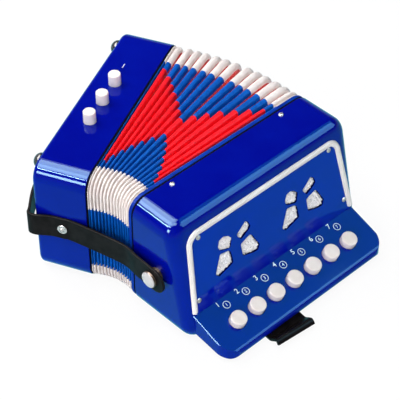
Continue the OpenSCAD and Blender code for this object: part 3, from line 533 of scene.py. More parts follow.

# %% [markdown]
# ## Grille panel, cloth and trim
# The panel is a flat glossy plate with two groups of four leaf-shaped holes. Their cut walls are
# coloured dark navy as painted shade, the shadow inside the holes. Loose white cloth behind it swells
# into the holes. A cloth simulation could swell it, but the puffs are only a millimetre or so high and
# lumpy, so each is a leaf-shaped slab that is stepped in by insets, remeshed in fine voxels and
# roughened by a cloud texture. A thin flat sheet behind them is the rest of the cloth. A round cream
# bead runs up both sides of the panel and across its top. It is a circle, flat where it rests on the
# panel, carried along that line; a bevelled curve would sink into the panel.

# %% The panel
LEAVES = [
    [(-15, 8.6), (-12.6, 13.4), (-8.6, 14.1), (-4.4, 12.1), (-1.6, 9), (-4.2, 1.8), (-13.6, 5)],
    [(-14.2, 2.3), (-6, 0.6), (-4.3, -1.6), (-3.6, -11), (-18, -14.6), (-21, -11.4)],
    [(2.8, 8.2), (12.6, 14.7), (15.2, 12.8), (16.8, 8.4), (14.4, 6.2), (6.6, 2.7)],
    [(5.5, -0.7), (15, 1.9), (17.2, -0.1), (22.4, -10.6), (20.2, -14.4), (16, -14.3), (5.7, -11.1)],
]
LEAF_GROUPS, LEAF_CORNER = [(-34.5, -44.0), (31.9, -44.0)], 1.6


def leaf_outlines():
    for a, b in LEAF_GROUPS:
        for leaf in LEAVES:
            yield rounded([(a + p[0], b + p[1]) for p in leaf], LEAF_CORNER, 5)


panel = slab("grille_plate", panel_outline(0.0, 0.0), on_panel, -PANEL_THICK, 0.0)
for leaf in leaf_outlines():
    cut(panel, slab("leaf", leaf, on_panel, -4.0, 2.0))
soften(panel, 0.25, 3, 50)
dress(smooth(panel), panel_gloss, "blue_panel", "treble", "grille_panel")
# Faces standing square to the panel's face, the cut walls, take the dark navy painted shade.
panel.data.materials.append(painted_wall_shade)
panel_out = (on_panel(0, 0, 1) - on_panel(0, 0, 0)).normalized()
for face in panel.data.polygons:
    face.material_index = 1 if abs(face.normal.dot(panel_out)) < 0.3 else 0


# %% The cloth
PUFF_STEPS = ((0.3, 0.5), (0.4, 0.45), (0.5, 0.3), (0.5, 0.1))
PUFF_VOXEL, PUFF_LUMPS, PUFF_TOP = 0.22, 2.4, -2.3
weave = bpy.data.textures.new("weave", "CLOUDS")
weave.noise_scale, weave.noise_depth = 1.1 * MM, 2


def cloth_pad(outline):
    pad = slab("pad", outline, on_panel, -PANEL_THICK - 0.7, PUFF_TOP)
    for vert in pad.data.vertices:
        vert.select = False
    for face in pad.data.polygons:
        face.select = face.normal.dot(panel_out) > 0.9
    pick(pad)
    bpy.ops.object.mode_set(mode="EDIT")
    bpy.ops.mesh.select_mode(type="FACE")
    for wide, high in PUFF_STEPS:
        bpy.ops.mesh.inset(thickness=wide * MM, depth=high * MM)
    bpy.ops.object.mode_set(mode="OBJECT")
    fine = pad.modifiers.new("fine", "REMESH")
    fine.mode, fine.voxel_size = "VOXEL", PUFF_VOXEL * MM
    lumps = pad.modifiers.new("lumps", "DISPLACE")
    lumps.texture, lumps.strength, lumps.mid_level = weave, PUFF_LUMPS * MM, 0.5
    apply_modifiers(pad)
    return pad


CLOTH_MARGIN = PANEL_RIM + 0.15
CLOTH_BACK, CLOTH_FRONT = -PANEL_THICK - 0.8, -PANEL_THICK - 0.05
cloth_outline = panel_outline(CLOTH_MARGIN, CLOTH_MARGIN)
cloth = slab("grille_cloth_sheet", cloth_outline, on_panel, CLOTH_BACK, CLOTH_FRONT)
dress(smooth(cloth, 60), cloth_white, "grille_cloth", "treble", "grille_cloth")
puffs = join("grille_cloth_puffs", [cloth_pad(leaf) for leaf in leaf_outlines()])
dress(smooth(puffs, 60), cloth_white, "grille_cloth", "treble")


# %% The trim bead
TRIM_RADIUS, TRIM_SINK = 2.4, 0.4
lean = math.degrees(math.atan(PANEL_SPLAY))
reach = PANEL_CORNER / math.tan(math.radians(90 + lean) / 2)
turn_at = (PANEL_HALF_TOP - reach, PANEL_TOP - PANEL_CORNER)
foot_up = 3.6
foot_at = (PANEL_HALF_LOW - PANEL_SPLAY * foot_up, PANEL_LOW + foot_up)
right_half = [foot_at] + arc(turn_at, PANEL_CORNER, lean, 90, 14)
bead_line = right_half + [(-a, b) for a, b in reversed(right_half)]


def bead_rings(line, sides=20):
    rings, last = [], len(line) - 1
    for i, at in enumerate(line):
        along = (Vector(line[min(i + 1, last)]) - Vector(line[max(i - 1, 0)])).normalized()
        across = Vector((along.y, -along.x))
        stations = [(0.0, 1.0)]
        if i in (0, last):
            turns = [math.radians(d) for d in range(90, -1, -15)]
            stations = [(-math.sin(t), max(math.cos(t), 0.01)) for t in turns]
            if i == last:
                stations = [(-s, r) for s, r in reversed(stations)]
        for shift, size in stations:
            middle = Vector(at) + along * shift * TRIM_RADIUS
            ring = []
            for k in range(sides + 1):
                t = 2 * math.pi * k / sides
                aside = across * math.cos(t) * TRIM_RADIUS * size
                up = max(math.sin(t) * TRIM_RADIUS * size - TRIM_SINK, 0.0)
                ring.append(on_panel(middle.x + aside.x, middle.y + aside.y, up))
            rings.append(ring)
    return rings


trim = wrap("trim_bead", bead_rings(bead_line))
tidy_mesh(trim, 2e-5)
dress(smooth(trim, 50), cream, "white_plastic", "treble", "panel_trim")

# %% [markdown]
# ## Fingerboard
# A hollow sloping ledge with a rounded nose and rounded corners in plan. Bevels on a block could not
# give its two kinds of rounding, so its side view is pulled along the box, its plan is pulled up, and
# what both share is the ledge. A wedge takes a narrow flat off both end edges, where the light
# catches. A smaller ledge is cut out of it as room for the levers. The box's own outside is cut away
# too, so that the ledge sits tight against the rounded corner: here the manifold solver works where
# the exact one leaves the ledge solid. Last, seven holes are drilled for the buttons.

# %% The ledge
LEDGE_HALF, LEDGE_REACH, NOSE_RADIUS, LEDGE_CORNER, LEDGE_LOW = 81.0, 40.0, 4.2, 14.0, 7.0
LEDGE_CHAMFER, LEDGE_WALL = 0.5, 2.2
BUTTON_ROW, BUTTON_PITCH, BUTTON_RADIUS, BUTTON_HEIGHT = 20.0, 18.95, 6.1, 5.0
HOLE_RADIUS = BUTTON_RADIUS + 0.5


def ledge_line(u, h):
    c, s = math.cos(LEDGE_SLOPE), math.sin(LEDGE_SLOPE)
    return Vector((panel_x(LEDGE_ROOT) + u * c + h * s, LEDGE_ROOT - u * s + h * c))


nose = ledge_line(LEDGE_REACH - NOSE_RADIUS, -NOSE_RADIUS)
heel = Vector((panel_x(LEDGE_LOW), LEDGE_LOW))
to_nose = nose - heel
under_slope = math.atan2(to_nose.y, to_nose.x) - math.asin(NOSE_RADIUS / to_nose.length)
under_along = Vector((math.cos(under_slope), math.sin(under_slope)))
under_down = Vector((math.sin(under_slope), -math.cos(under_slope)))
nose_low = nose + NOSE_RADIUS * under_down


def ledge_solid(name, inset):
    r, front = NOSE_RADIUS - inset, nose.x + NOSE_RADIUS - inset
    half, corner = LEDGE_HALF - inset, LEDGE_CORNER - inset
    profile = [tuple(ledge_line(-30, -inset))]
    profile += arc(nose, r, 90 - math.degrees(LEDGE_SLOPE), math.degrees(under_slope) - 90, 24)
    profile.append(tuple(heel - inset * under_down - 30 * under_along))
    plan = [(-inset, half), (-inset, -half)]
    plan += arc((front - corner, -half + corner), corner, 270, 360, 20)
    plan += arc((front - corner, half - corner), corner, 0, 90, 20)
    body = slab(name, profile, on_side, -LEDGE_HALF - 5, LEDGE_HALF + 5)
    return cut(body, slab("plan", plan, on_front, -5, 60), how="INTERSECT")


def button_y(k):
    return (k - 4) * BUTTON_PITCH


def button_place(k):
    there = Matrix.Translation(on_ledge(BUTTON_ROW, button_y(k), 0))
    return there @ Matrix.Rotation(LEDGE_SLOPE, 4, "Y")


def across_ledge(y, h, u):
    return on_ledge(u, y, h)


ledge = ledge_solid("fingerboard_ledge", 0.0)
for way in (-1, 1):
    inner, outer = LEDGE_HALF - LEDGE_CHAMFER - 1, LEDGE_HALF + 1
    wedge = [(way * inner, 1), (way * outer, -LEDGE_CHAMFER - 1), (way * (outer + 5), 6)]
    cut(ledge, slab("edge_cut", wedge, across_ledge, -20, LEDGE_REACH + 10))
cut(ledge, ledge_solid("ledge_room", LEDGE_WALL))
cut(ledge, treble_outside("box_shape"), solver="MANIFOLD")
for k in range(1, 8):
    drill = turned("drill", [(0, -6), (HOLE_RADIUS, -6), (HOLE_RADIUS, 2), (0, 2)], 40)
    cut(ledge, put(drill, button_place(k)))
dress(smooth(ledge), blue_gloss, "blue_shell", "treble", "fingerboard")

# %% [markdown]
# ## Buttons
# White plastic caps with a soft top edge and a slightly dished face; the bass ones stand on a collar,
# a stem and a pad. A bevelled cylinder would do for a cap alone, but half a section spun round its
# axis gives the whole button in one closed mesh. One treble and one bass button are spun, then copied
# to their places. Every copy keeps its own mesh, because each one moves by itself.


# %% Treble buttons
def cap_profile(foot, radius, top, edge, dish):
    rim = [(radius - edge + edge * math.sin(t), top - edge + edge * math.cos(t))
           for t in [math.radians(d) for d in range(90, -1, -18)]]
    return [(0, foot), (radius, foot)] + rim + [(radius * 0.55, top - dish * 0.4), (0, top - dish)]


treble_cap = turned("treble_cap", cap_profile(-3.2, BUTTON_RADIUS, BUTTON_HEIGHT, 0.9, 0.12), 56)
for k in range(1, 8):
    cap = copy_of(treble_cap, f"treble_cap_{k}")
    put(cap, button_place(k))
    dress(smooth(cap, 40), button_white, "white_button", f"key_{k}", f"treble_button_{k}")
bpy.data.objects.remove(treble_cap, do_unlink=True)

# %% Bass buttons
VALVE_X, VALVE_MIDDLE, VALVE_PITCH = BASS_SEAM - 22.6, -2.5, 23.0
VALVE_CAP, VALVE_PAD, VALVE_STEM = 4.7, 6.3, 2.0


def valve_place(k):
    return Matrix.Translation(in_row(VALVE_X, VALVE_MIDDLE + (k - 2) * VALVE_PITCH, 0))


pad_part = [(0, 66), (VALVE_PAD, 66), (VALVE_PAD, 69.9), (VALVE_STEM, 69.9)]
collar_part = [(VALVE_STEM, 92.95), (VALVE_PAD, 92.95), (VALVE_PAD, 94.9), (VALVE_CAP, 94.95)]
bass_rim = cap_profile(94.95, VALVE_CAP, BOX_HEIGHT + 9.0, 0.9, 0.1)[2:]
bass_cap = turned("bass_cap", pad_part + collar_part + bass_rim, 48)
for k in (1, 2, 3):
    cap = copy_of(bass_cap, f"bass_cap_{k}")
    put(cap, fanned(1) @ valve_place(k))
    dress(smooth(cap, 40), button_white, "white_button", f"valve_{k}", f"bass_button_{k}")
bpy.data.objects.remove(bass_cap, do_unlink=True)

# %% [markdown]
# ## The bass box
# A plainer hollow box than the treble one, straight all round, with tighter end edges and three holes
# for its buttons. It could be drawn where it stands, but it is modelled shut against the bellows,
# square to the frame, and then swung out with them by the fan's angle, which is how the photograph has
# it.


# %% The bass moulding
END_EDGE, VALVE_HOLE = 3.5, 5.1


def bass_rims(middle, way):
    if runs_along(way):
        return 0.0
    return END_EDGE if middle.x < BASS_END - ROW_X + 1 else SEAM_EDGE


bass_box = six_sided("bass_box", BASS_SEAM, lambda z: BASS_END, 0.0)
round_edges(bass_box, long_edges(BOX_CORNER), 12)
round_edges(bass_box, bass_rims, 6)
hollow = six_sided("hollow", BASS_SEAM + 4.0, lambda z: BASS_END + WALL, WALL)
cut(bass_box, round_edges(hollow, long_edges(BOX_CORNER - WALL), 6))
for k in (1, 2, 3):
    drill = turned("drill", [(0, 90), (VALVE_HOLE, 90), (VALVE_HOLE, 100), (0, 100)], 40)
    cut(bass_box, put(drill, valve_place(k)))
put(bass_box, fanned(1))
dress(smooth(bass_box), blue_gloss, "blue_shell", "bass", "bass_case")

# %% [markdown]
# ## Gaskets and bellows frame
# Between box and bellows lie a strip of black foam and, on the treble side, a blue card frame. They
# show as thin lines round the seam. A strip bent round the box would need four corners, so each is a
# ring instead: one box outline pulled out, a smaller one cut away, edges softened.


# %% Rings round the seams
def seam_ring(name, outside, inside, low, high, edge):
    ring = slab(name, box_outline(outside), on_end, low, high)
    cut(ring, slab("inside", box_outline(inside), on_end, low - 1, high + 1))
    return soften(ring, edge, 3, 50)


treble_seal = seam_ring("treble_seal", 0.35, 5.0, -TREBLE_SEAL, 0.0, 0.3)
dress(smooth(treble_seal), gasket_black, "black_gasket", "treble", "treble_gasket")
bellows_edge = seam_ring("bellows_edge", 0.3, 8.0, FLANGE_X, -TREBLE_SEAL, 0.7)
dress(smooth(bellows_edge, 50), frame_blue, "blue_frame", "treble", "bellows_frame")
bass_seal = seam_ring("bass_seal", 0.4, 5.0, BASS_SEAM, BASS_SEAM + BASS_SEAL, 0.3)
put(bass_seal, fanned(1))
dress(smooth(bass_seal), gasket_black, "black_gasket", "bass", "bass_gasket")

# %% [markdown]
# ## Bellows
# Thirteen card folds, which open unevenly. Each ridge is covered with folded tape: white round the
# corners, blue, and a red field in the middle. The field's ends step out evenly from the middle fold
# to the outer ones, so that the blue makes a chevron on each side; the first and last ridge have no
# red. The tape covers only the ridges, so the red flecked paper of the folds shows where the fan opens
# wide. The real bellows hinge at every ridge and valley. Here each strip from one ridge to the next is
# a grid of its own, wrapped round the box outline with a fold in its middle. Its two ridges lie on the
# two neighbouring folds, and the valley half way between them.

# %% Sections of tape round one fold
WHITE, BLUE, RED, PAPER = range(4)
TAPE_RISE = {WHITE: 0.45, BLUE: 0.2, RED: 0.2}
FOLD_INSET, FOLD_DEPTH, TAPE_DEPTH = 1.0, 11.4, 4.0
NEAR_WHITE, FAR_WHITE, HIGH_WHITE, LOW_WHITE = -67.7, 58.5, 71.5, 17.0
SPLIT = 0.03
RIDGES = list(range(FOLDS + 1)) + [FOLD_STEPS]
MIDDLE_FOLD, RED_NEAR, NEAR_STEP, RED_FAR, FAR_STEP, LEAST_BLUE = 7, -18.0, 7.0, 2.5, 7.9, 0.5


def red_field(step):
    from_middle = abs(step - MIDDLE_FOLD)
    near = max(RED_NEAR - NEAR_STEP * from_middle, NEAR_WHITE + LEAST_BLUE)
    far = min(RED_FAR + FAR_STEP * from_middle, FAR_WHITE - LEAST_BLUE)
    return near, far


def tape_round(step):
    near, far = red_field(step)
    field = BLUE if step in (RIDGES[0], RIDGES[-1]) else RED
    places = [CORNER_Y, FAR_WHITE, far, near, NEAR_WHITE, -CORNER_Y]
    bands = [WHITE, BLUE, field, BLUE, WHITE, None]
    across, back = list(zip(places, bands)), list(zip(places[::-1], bands))
    down = [(CORNER_TOP, WHITE), (HIGH_WHITE, BLUE), (LOW_WHITE, WHITE), (CORNER_LOW, None)]
    up = [(CORNER_LOW, WHITE), (LOW_WHITE + 9, BLUE), (HIGH_WHITE, WHITE), (CORNER_TOP, None)]
    stations = []
    for side, marks, corner, start in (
        ("front", across, "front_near", 90), ("near", down, "back_near", 180),
        ("back", back, "back_far", 270), ("far", up, "front_far", 0),
    ):
        colour = marks[0][1]
        way = 1 if marks[-1][0] > marks[0][0] else -1
        stations.append((side, marks[0][0], colour))
        for place, after in marks[1:-1]:
            stations.append((side, place - way * SPLIT, colour))
            stations.append((side, place + way * SPLIT, after))
            colour = after
        stations.append((side, marks[-1][0], colour))
        stations += [(corner, start + 15 * k, WHITE) for k in range(1, 6)]
    return stations + stations[:1]


def round_the_box(side, place, inset):
    r = max(BOX_CORNER - inset, 0.6)
    if side == "front":
        return place, CORNER_TOP + r
    if side == "near":
        return -CORNER_Y - r, place
    if side == "back":
        return place, CORNER_LOW - r
    if side == "far":
        return CORNER_Y + r, place
    y = CORNER_Y if side.endswith("far") else -CORNER_Y
    z = CORNER_TOP if side.startswith("front") else CORNER_LOW
    t = math.radians(place)
    return y + r * math.cos(t), z + r * math.sin(t)


print("stations round a fold", len(tape_round(MIDDLE_FOLD)))


# %% One strip from ridge to ridge
FOLD_DRIFT = [-0.6, -0.55, -0.45, -0.1, -0.1, -0.05, 0.5, 0.6, 0.55, 0.75, 0.55, 0.35, 0.5]
RIDGE_X = [FLANGE_X - step * FOLD_PITCH for step in RIDGES]
RIDGE_FAN = [0.0] + [(i + 1 + drift) / FOLD_STEPS for i, drift in enumerate(FOLD_DRIFT)] + [1.0]
BEND_SHARE, BEND_GROWTH, BEND_MOST, BEND_WIDEST, TAPE_STEP = 0.5, 0.08, 0.72, 2.9, 0.05


def between(low, high, share):
    x = RIDGE_X[low] + (RIDGE_X[high] - RIDGE_X[low]) * share
    return x, fanned(RIDGE_FAN[low] + (RIDGE_FAN[high] - RIDGE_FAN[low]) * share)


def half_gap(low, high, y):
    opened = (y + HALF_LENGTH + PIVOT_OUT) * FAN_ANGLE * abs(RIDGE_FAN[high] - RIDGE_FAN[low])
    return (abs(RIDGE_X[high] - RIDGE_X[low]) + opened) / 2


def half_fold(ridge, other, station):
    side, place, colour = station
    rise = TAPE_RISE[colour]
    gap = half_gap(ridge, other, round_the_box(side, place, FOLD_INSET)[0])
    share = min(BEND_SHARE + BEND_GROWTH * (gap - FOLD_PITCH / 2), BEND_MOST)
    bend = min(gap * share, BEND_WIDEST)
    turns = [math.radians(d) for d in (0, 18, 36, 54, 72)]
    depths = [(bend * (1 - math.cos(t)), bend * math.sin(t)) for t in turns]
    at_edge = bend + (gap - bend) * (TAPE_DEPTH - bend) / (FOLD_DEPTH - bend)
    depths += [(TAPE_DEPTH, at_edge), (TAPE_DEPTH + TAPE_STEP, at_edge - rise)]
    points = []
    for depth, aside in depths:
        x, turn = between(ridge, other, aside / gap / 2)
        y, z = round_the_box(side, place, FOLD_INSET - rise + depth)
        points.append(turn @ in_row(x, y, z))
    return points


def bellows_strip(name, low, high):
    rows, colours = [], []
    x, turn = between(low, high, 0.5)
    for first, second in zip(tape_round(RIDGES[low]), tape_round(RIDGES[high])):
        y, z = round_the_box(first[0], (first[1] + second[1]) / 2, FOLD_INSET + FOLD_DEPTH)
        valley = turn @ in_row(x, y, z)
        rows.append(half_fold(low, high, first) + [valley] + half_fold(high, low, second)[::-1])
        colours.append((first[2], second[2]))
    strip = wrap(name, rows, capped=False)
    columns = len(rows[0]) - 1
    for finish in (tape_white, tape_blue, tape_red, red_paper):
        strip.data.materials.append(finish)
    for face in strip.data.polygons:
        row, column = divmod(face.index, columns)
        inside = columns // 2 - 2 < column < columns // 2 + 1
        face.material_index = PAPER if inside else colours[row][column >= columns // 2]
    return smooth(strip, 50)


strips = [bellows_strip(f"bellows_strip_{i:02d}", i, i + 1) for i in range(FOLDS + 1)]
print("strips", len(strips), "faces each", len(strips[0].data.polygons))

# %% [markdown]
# A strip's two ridges lie on different folds: one ridge lies before the plane of its valley and the
# other behind it. The middle of that plane and the way square to it are found, and each strip is then
# fixed where it stands, in place of its fold's solid. The last strip ends on the bass box itself, which
# turns with the whole fan, so its first ridge keeps the share of the fan that fold thirteen has.

# %% Strips fixed in place
LAST_SHARE, LAST_WAY, BLEND_REACH = 0.929, 40.0, 0.9


def fold_body(step):
    return "treble" if step == 0 else f"fold_{step:02d}"


def across_bellows(turn):
    return turn.to_3x3() @ Vector((-1, 0, 0)) * MM


for i, strip in enumerate(strips):
    if i < FOLDS:
        x, turn = between(i, i + 1, 0.5)
        way = across_bellows(turn) * BLEND_REACH * half_gap(i, i + 1, 0)
        at = turn @ in_row(x, 0, 0)
        fold_body(i)
        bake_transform(strip)
        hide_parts(f"fold_{i + 1:02d}")
    else:
        x, turn = between(i, i + 1, 0.0)
        way = across_bellows(turn) * LAST_WAY
        at = turn @ in_row(x, 0, 0)
        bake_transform(strip)

# %% [markdown]
# ## Strap, knob and studs
# One black strap of imitation leather runs round the bass box's end for the hand, is held by a screw
# on each side, and goes on past the bellows to a knob on the treble box that keeps the bellows shut. A
# plane could be bent along a curve, but then its ends could not be rounded so easily. So a smooth line
# is laid through a few points, and a thin section with rounded edges is carried along it.

# %% The strap's path
STRAP_Z, STRAP_HALF, STRAP_THICK = BOX_HEIGHT / 2 - 0.75, 9.75, 2.0
SCREW_IN, HAND_BOW, KNOB_X, STRAP_LAST = 18.6, 14.0, 24.5, 37.3
CLOSING_SLOPE, STRAP_EDGE, STRAP_BEND = 0.03, 0.55, 14.0
strap_side = HALF_LENGTH + STRAP_THICK / 2 + 0.15
loose = STRAP_THICK / 2 + 3.3


def beside(back, out):
    return Vector((BASS_SEAM - back, -(strap_side + out)))


def bowed(y, out):
    return Vector((BASS_END - out, y))


near_side = [
    bowed(-BOX_LENGTH * 0.25, HAND_BOW - 0.6), bowed(-BOX_LENGTH * 0.38, HAND_BOW - 3.4),
    bowed(-HALF_LENGTH + 2, loose + 0.4), bowed(-HALF_LENGTH - loose + 1, loose - 1.3),
    beside(BASS_DEPTH - 3, loose - 1.4), beside(SCREW_IN + 9, 0.3),
    beside(SCREW_IN, 0), beside(SCREW_IN - 9, 0.3),
]
far_side = [Vector((p.x, -p.y)) for p in reversed(near_side)]


def swung(point):
    there = fanned(1) @ in_row(point.x, point.y, 0)
    return Vector((there.x / MM + ROW_X, there.y / MM))


def closing_y(x):
    return -(HALF_LENGTH + PIVOT_OUT) - CLOSING_SLOPE * (x - BASS_SEAM / 2)


held_points = [swung(p) for p in far_side + [bowed(0, HAND_BOW)] + near_side]
free_points = [Vector((x, closing_y(x))) for x in (-8.0, 8.0, KNOB_X, STRAP_LAST)]
strap_path = smooth_path(held_points + free_points, 7)


def strap_rows(path):
    rows, last = [], len(path) - 1
    length_left = [0.0]
    for i in range(last, 0, -1):
        length_left.append(length_left[-1] + (path[i] - path[i - 1]).length)
    length_left.reverse()
    for i, at in enumerate(path):
        along = (path[min(i + 1, last)] - path[max(i - 1, 0)]).normalized()
        out = Vector((along.y, -along.x))
        left = STRAP_HALF - length_left[i]
        half = math.sqrt(max(STRAP_HALF**2 - left**2, 2.0)) if left > 0 else STRAP_HALF
        section = rounded([(-1, -half), (1, -half), (1, half), (-1, half)], STRAP_EDGE, 3)
        row = [in_row(at.x + out.x * a, at.y + out.y * a, STRAP_Z + b) for a, b in section]
        rows.append(row + row[:1])
    return rows


end_places = [STRAP_LAST - s for s in (8, 6, 4.2, 2.8, 1.6, 0.8, 0.3, 0)]
end_steps = [Vector((x, closing_y(x))) for x in end_places]
short_path = [p for p in strap_path if p.x < STRAP_LAST - 9]
strap = wrap("strap", strap_rows(short_path + end_steps))
strap.data.materials.append(strap_black)
smooth(strap, 50)
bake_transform(strap)
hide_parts("hand_strap", "closing_strap")
print("strap path", len(short_path + end_steps), "points")

# %% [markdown]
# The knob is a turned bronze button with a pale grey plastic face. Four dark chrome domes stand on the
# bass box's end as feet. Small cross-head screws hold the panel, the treble box and, with washers, the
# strap. Cylinders and spheres could be stacked, but half a section spun round its axis gives each of
# these in one closed mesh. The screw's cross is two bars cut out of its head.

# %% Knob and its face
knob_strap = -closing_y(KNOB_X) - HALF_LENGTH
knob_head = knob_strap + STRAP_THICK / 2 + 0.4
on_knob = Matrix.Translation(in_row(KNOB_X, -HALF_LENGTH, STRAP_Z))
on_knob = on_knob @ Matrix.Rotation(math.radians(90), 4, "X")
knob = turned("knob", [
    (0, 0), (5.5, 0), (5.5, knob_strap - 1.4), (3.4, knob_strap - 1.3), (3.4, knob_head - 0.1),
    (6.0, knob_head), (6.4, knob_head + 0.3), (6.4, knob_head + 1.2), (6.1, knob_head + 1.6),
    (0, knob_head + 1.6)])
dress(smooth(put(knob, on_knob), 40), bronze, "bronze_knob", "treble", "strap_knob")
face = turned("knob_face", [
    (0, knob_head + 1.5), (5.9, knob_head + 1.5), (6.1, knob_head + 1.9), (6.0, knob_head + 2.4),
    (5.5, knob_head + 2.8), (4.4, knob_head + 3.15), (2.4, knob_head + 3.35), (0, knob_head + 3.4)])
dress(smooth(put(face, on_knob), 50), face_grey, "white_plastic", "treble", "knob_cap")

# %% Studs on the bass end
STUD_RADIUS, STUD_HEIGHT, STUD_HALF, STUD_IN = 6.0, 5.4, 69.4, 7.8
dome_turns = [math.radians(d) for d in range(0, 91, 9)]
dome = [(STUD_RADIUS * math.cos(t), STUD_HEIGHT * math.sin(t)) for t in dome_turns]
one_stud = turned("stud", [(0, -3.0), (1.2, -3.0), (1.2, 0.0)] + dome)
to_end = Matrix.Rotation(math.radians(-90), 4, "Y")
studs = []
for y in (-STUD_HALF, STUD_HALF):
    for z in (STUD_IN, BOX_HEIGHT - STUD_IN):
        stud = copy_of(one_stud, "stud_copy")
        studs.append(put(stud, fanned(1) @ Matrix.Translation(in_row(BASS_END, y, z)) @ to_end))
bpy.data.objects.remove(one_stud, do_unlink=True)
dress(smooth(join("end_feet", studs), 50), dark_chrome, "nickel", "bass", "end_studs")

# %% Screws
SCREW_HEAD, SCREW_RISE, FRONT_SCREW_X, FRONT_SCREW_Y = 1.9, 1.2, 4.5, 53.6
screw = turned("screw", [
    (0, -3), (1.1, -3), (1.1, 0), (SCREW_HEAD, 0), (SCREW_HEAD, 0.5), (1.7, 0.8), (1.25, 1.08),
    (0.7, SCREW_RISE), (0, SCREW_RISE)], 32)
for turn in (0, 90):
    clear_selection()
    bpy.ops.mesh.primitive_cube_add(size=MM, location=(0, 0, 1.1 * MM))
    bar = bpy.context.object
    bar.scale = (2.5, 0.5, 1.1)
    bar.rotation_euler.z = math.radians(turn)
    pick(bar)
    bpy.ops.object.transform_apply(location=True, rotation=True, scale=True)
    cut(screw, bar)
out_of_panel = Matrix.Rotation(math.radians(90) - PANEL_SLOPE, 4, "Y")
stand = TRIM_RADIUS + SCREW_HEAD + 0.15
low_up = 10.3
low_half = PANEL_HALF_LOW - PANEL_SPLAY * low_up - stand / math.cos(math.atan(PANEL_SPLAY))
places = []
for sign in (-1, 1):
    places.append(Matrix.Translation(on_panel(sign * turn_at[0], PANEL_TOP - stand, 0)) @ out_of_panel)
    places.append(Matrix.Translation(on_panel(sign * low_half, PANEL_LOW + low_up, 0)) @ out_of_panel)
    places.append(Matrix.Translation(in_row(FRONT_SCREW_X, sign * FRONT_SCREW_Y, BOX_HEIGHT)))
    upside = Matrix.Rotation(math.radians(180), 4, "X")
    places.append(Matrix.Translation(in_row(FRONT_SCREW_X, sign * FRONT_SCREW_Y, SCREW_RISE)) @ upside)
screws = [put(copy_of(screw, "screw_copy"), place) for place in places]
dress(smooth(join("box_screws", screws), 35), nickel, "nickel", "treble", "treble_screws")

# %% Strap screws with washers
washer = turned("washer", [(0, 0), (3.5, 0), (3.8, 0.25), (3.6, 0.6), (2.2, 0.75), (0, 0.75)], 40)
held = []
for sign in (-1, 1):
    out = Matrix.Translation(in_row(BASS_SEAM - SCREW_IN, sign * (HALF_LENGTH + 2.3), STRAP_Z))
    out = fanned(1) @ out @ Matrix.Rotation(math.radians(-90 * sign), 4, "X")
    held.append(put(copy_of(washer, "washer_copy"), out))
    held.append(put(copy_of(screw, "screw_copy"), out @ Matrix.Translation((0, 0, 0.4 * MM))))
for spare in (screw, washer):
    bpy.data.objects.remove(spare, do_unlink=True)
dress(smooth(join("strap_fasteners", held), 35), nickel, "nickel", "bass", "strap_screws")

# %% [markdown]
# ## Thumb rest
# A black plastic hook under the ledge's nose: a plate, a hollow for the thumb and a rolled lip. A bent
# plate would need a bend tool, so its side view is drawn as a band along a curve and pulled to its
# width. It is then turned a little askew, as the real one was screwed on.

# %% The hook
THUMB_WIDTH, THUMB_MIDDLE, THUMB_THICK, THUMB_REACH, THUMB_PLATE = 33.5, -26.3, 2.0, 12.8, 16.0
THUMB_TURN = math.radians(-5)
half_thick = THUMB_THICK / 2
plate = [nose_low - d * THUMB_PLATE * under_along + half_thick * under_down for d in (1, 0.5, 0)]
lip = nose_low + Vector((NOSE_RADIUS + THUMB_REACH, 0.047 * THUMB_REACH))
bend = [
    nose_low + Vector((0.3125 * THUMB_REACH, -1.3 * half_thick)),
    nose_low + Vector((0.6406 * THUMB_REACH, -half_thick)),
    lip + Vector((-0.3438, 0.1172)) * THUMB_REACH,
    lip + Vector((-0.1563, 0.1875)) * THUMB_REACH,
    lip,
]
hook_line = plate + smooth_path(bend, 5)
sides = []
for i, point in enumerate(hook_line):
    along = (hook_line[min(i + 1, len(hook_line) - 1)] - hook_line[max(i - 1, 0)]).normalized()
    sides.append(Vector((-along.y, along.x)) * half_thick)
upper = [tuple(p + s) for p, s in zip(hook_line, sides)]
lower = [tuple(p - s) for p, s in zip(hook_line, sides)]
band = upper + lower[::-1]
hook = slab("thumb_hook", band, on_side, -THUMB_WIDTH / 2, THUMB_WIDTH / 2)
soften(hook, 0.45, 3, 50)
askew = Matrix.Translation(in_row(nose_low.x, THUMB_MIDDLE, nose_low.y))
askew = askew @ Matrix.Rotation(THUMB_TURN, 4, Vector((-under_down.x, 0, -under_down.y)))
put(hook, askew @ Matrix.Translation(-in_row(nose_low.x, 0, nose_low.y)))
dress(smooth(hook, 40), black_gloss, "black_plastic", "treble", "thumb_rest")

# %% [markdown]
# ## Printed marks
# Beside every treble button stands a small printed pair of marks: a plain number, and the same one in
# a ring. A picture on the ledge could carry them, but it would blur close up. So they are text turned
# into a thin mesh, laid just above the plastic. A short dash is printed on the bass box.

# %% Numbers and rings
ink = recipe("white_ink", (0.72, 0.76, 0.84), (0.80, 0.83, 0.88), 2, 0.5)
ALONG = Vector((0, 1, 0))
UPHILL = (on_ledge(-1, 0, 0) - on_ledge(0, 0, 0)).normalized()
LEDGE_OUT = ALONG.cross(UPHILL)


def printed_at(u, y):
    axes = Matrix((ALONG, UPHILL, LEDGE_OUT)).transposed().to_4x4()
    return Matrix.Translation(on_ledge(u, y, 0.02)) @ axes


def number(text, size, u, y):
    clear_selection()
    bpy.ops.object.text_add()
    obj = bpy.context.object
    obj.data.body, obj.data.size = text, size * MM
    obj.data.align_x, obj.data.align_y = "CENTER", "CENTER"
    obj.data.extrude, obj.data.offset = 0.02 * MM, 0.02 * MM
    obj.data.resolution_u = 3
    pick(obj)
    bpy.ops.object.convert(target="MESH")
    return put(bpy.context.object, printed_at(u, y))


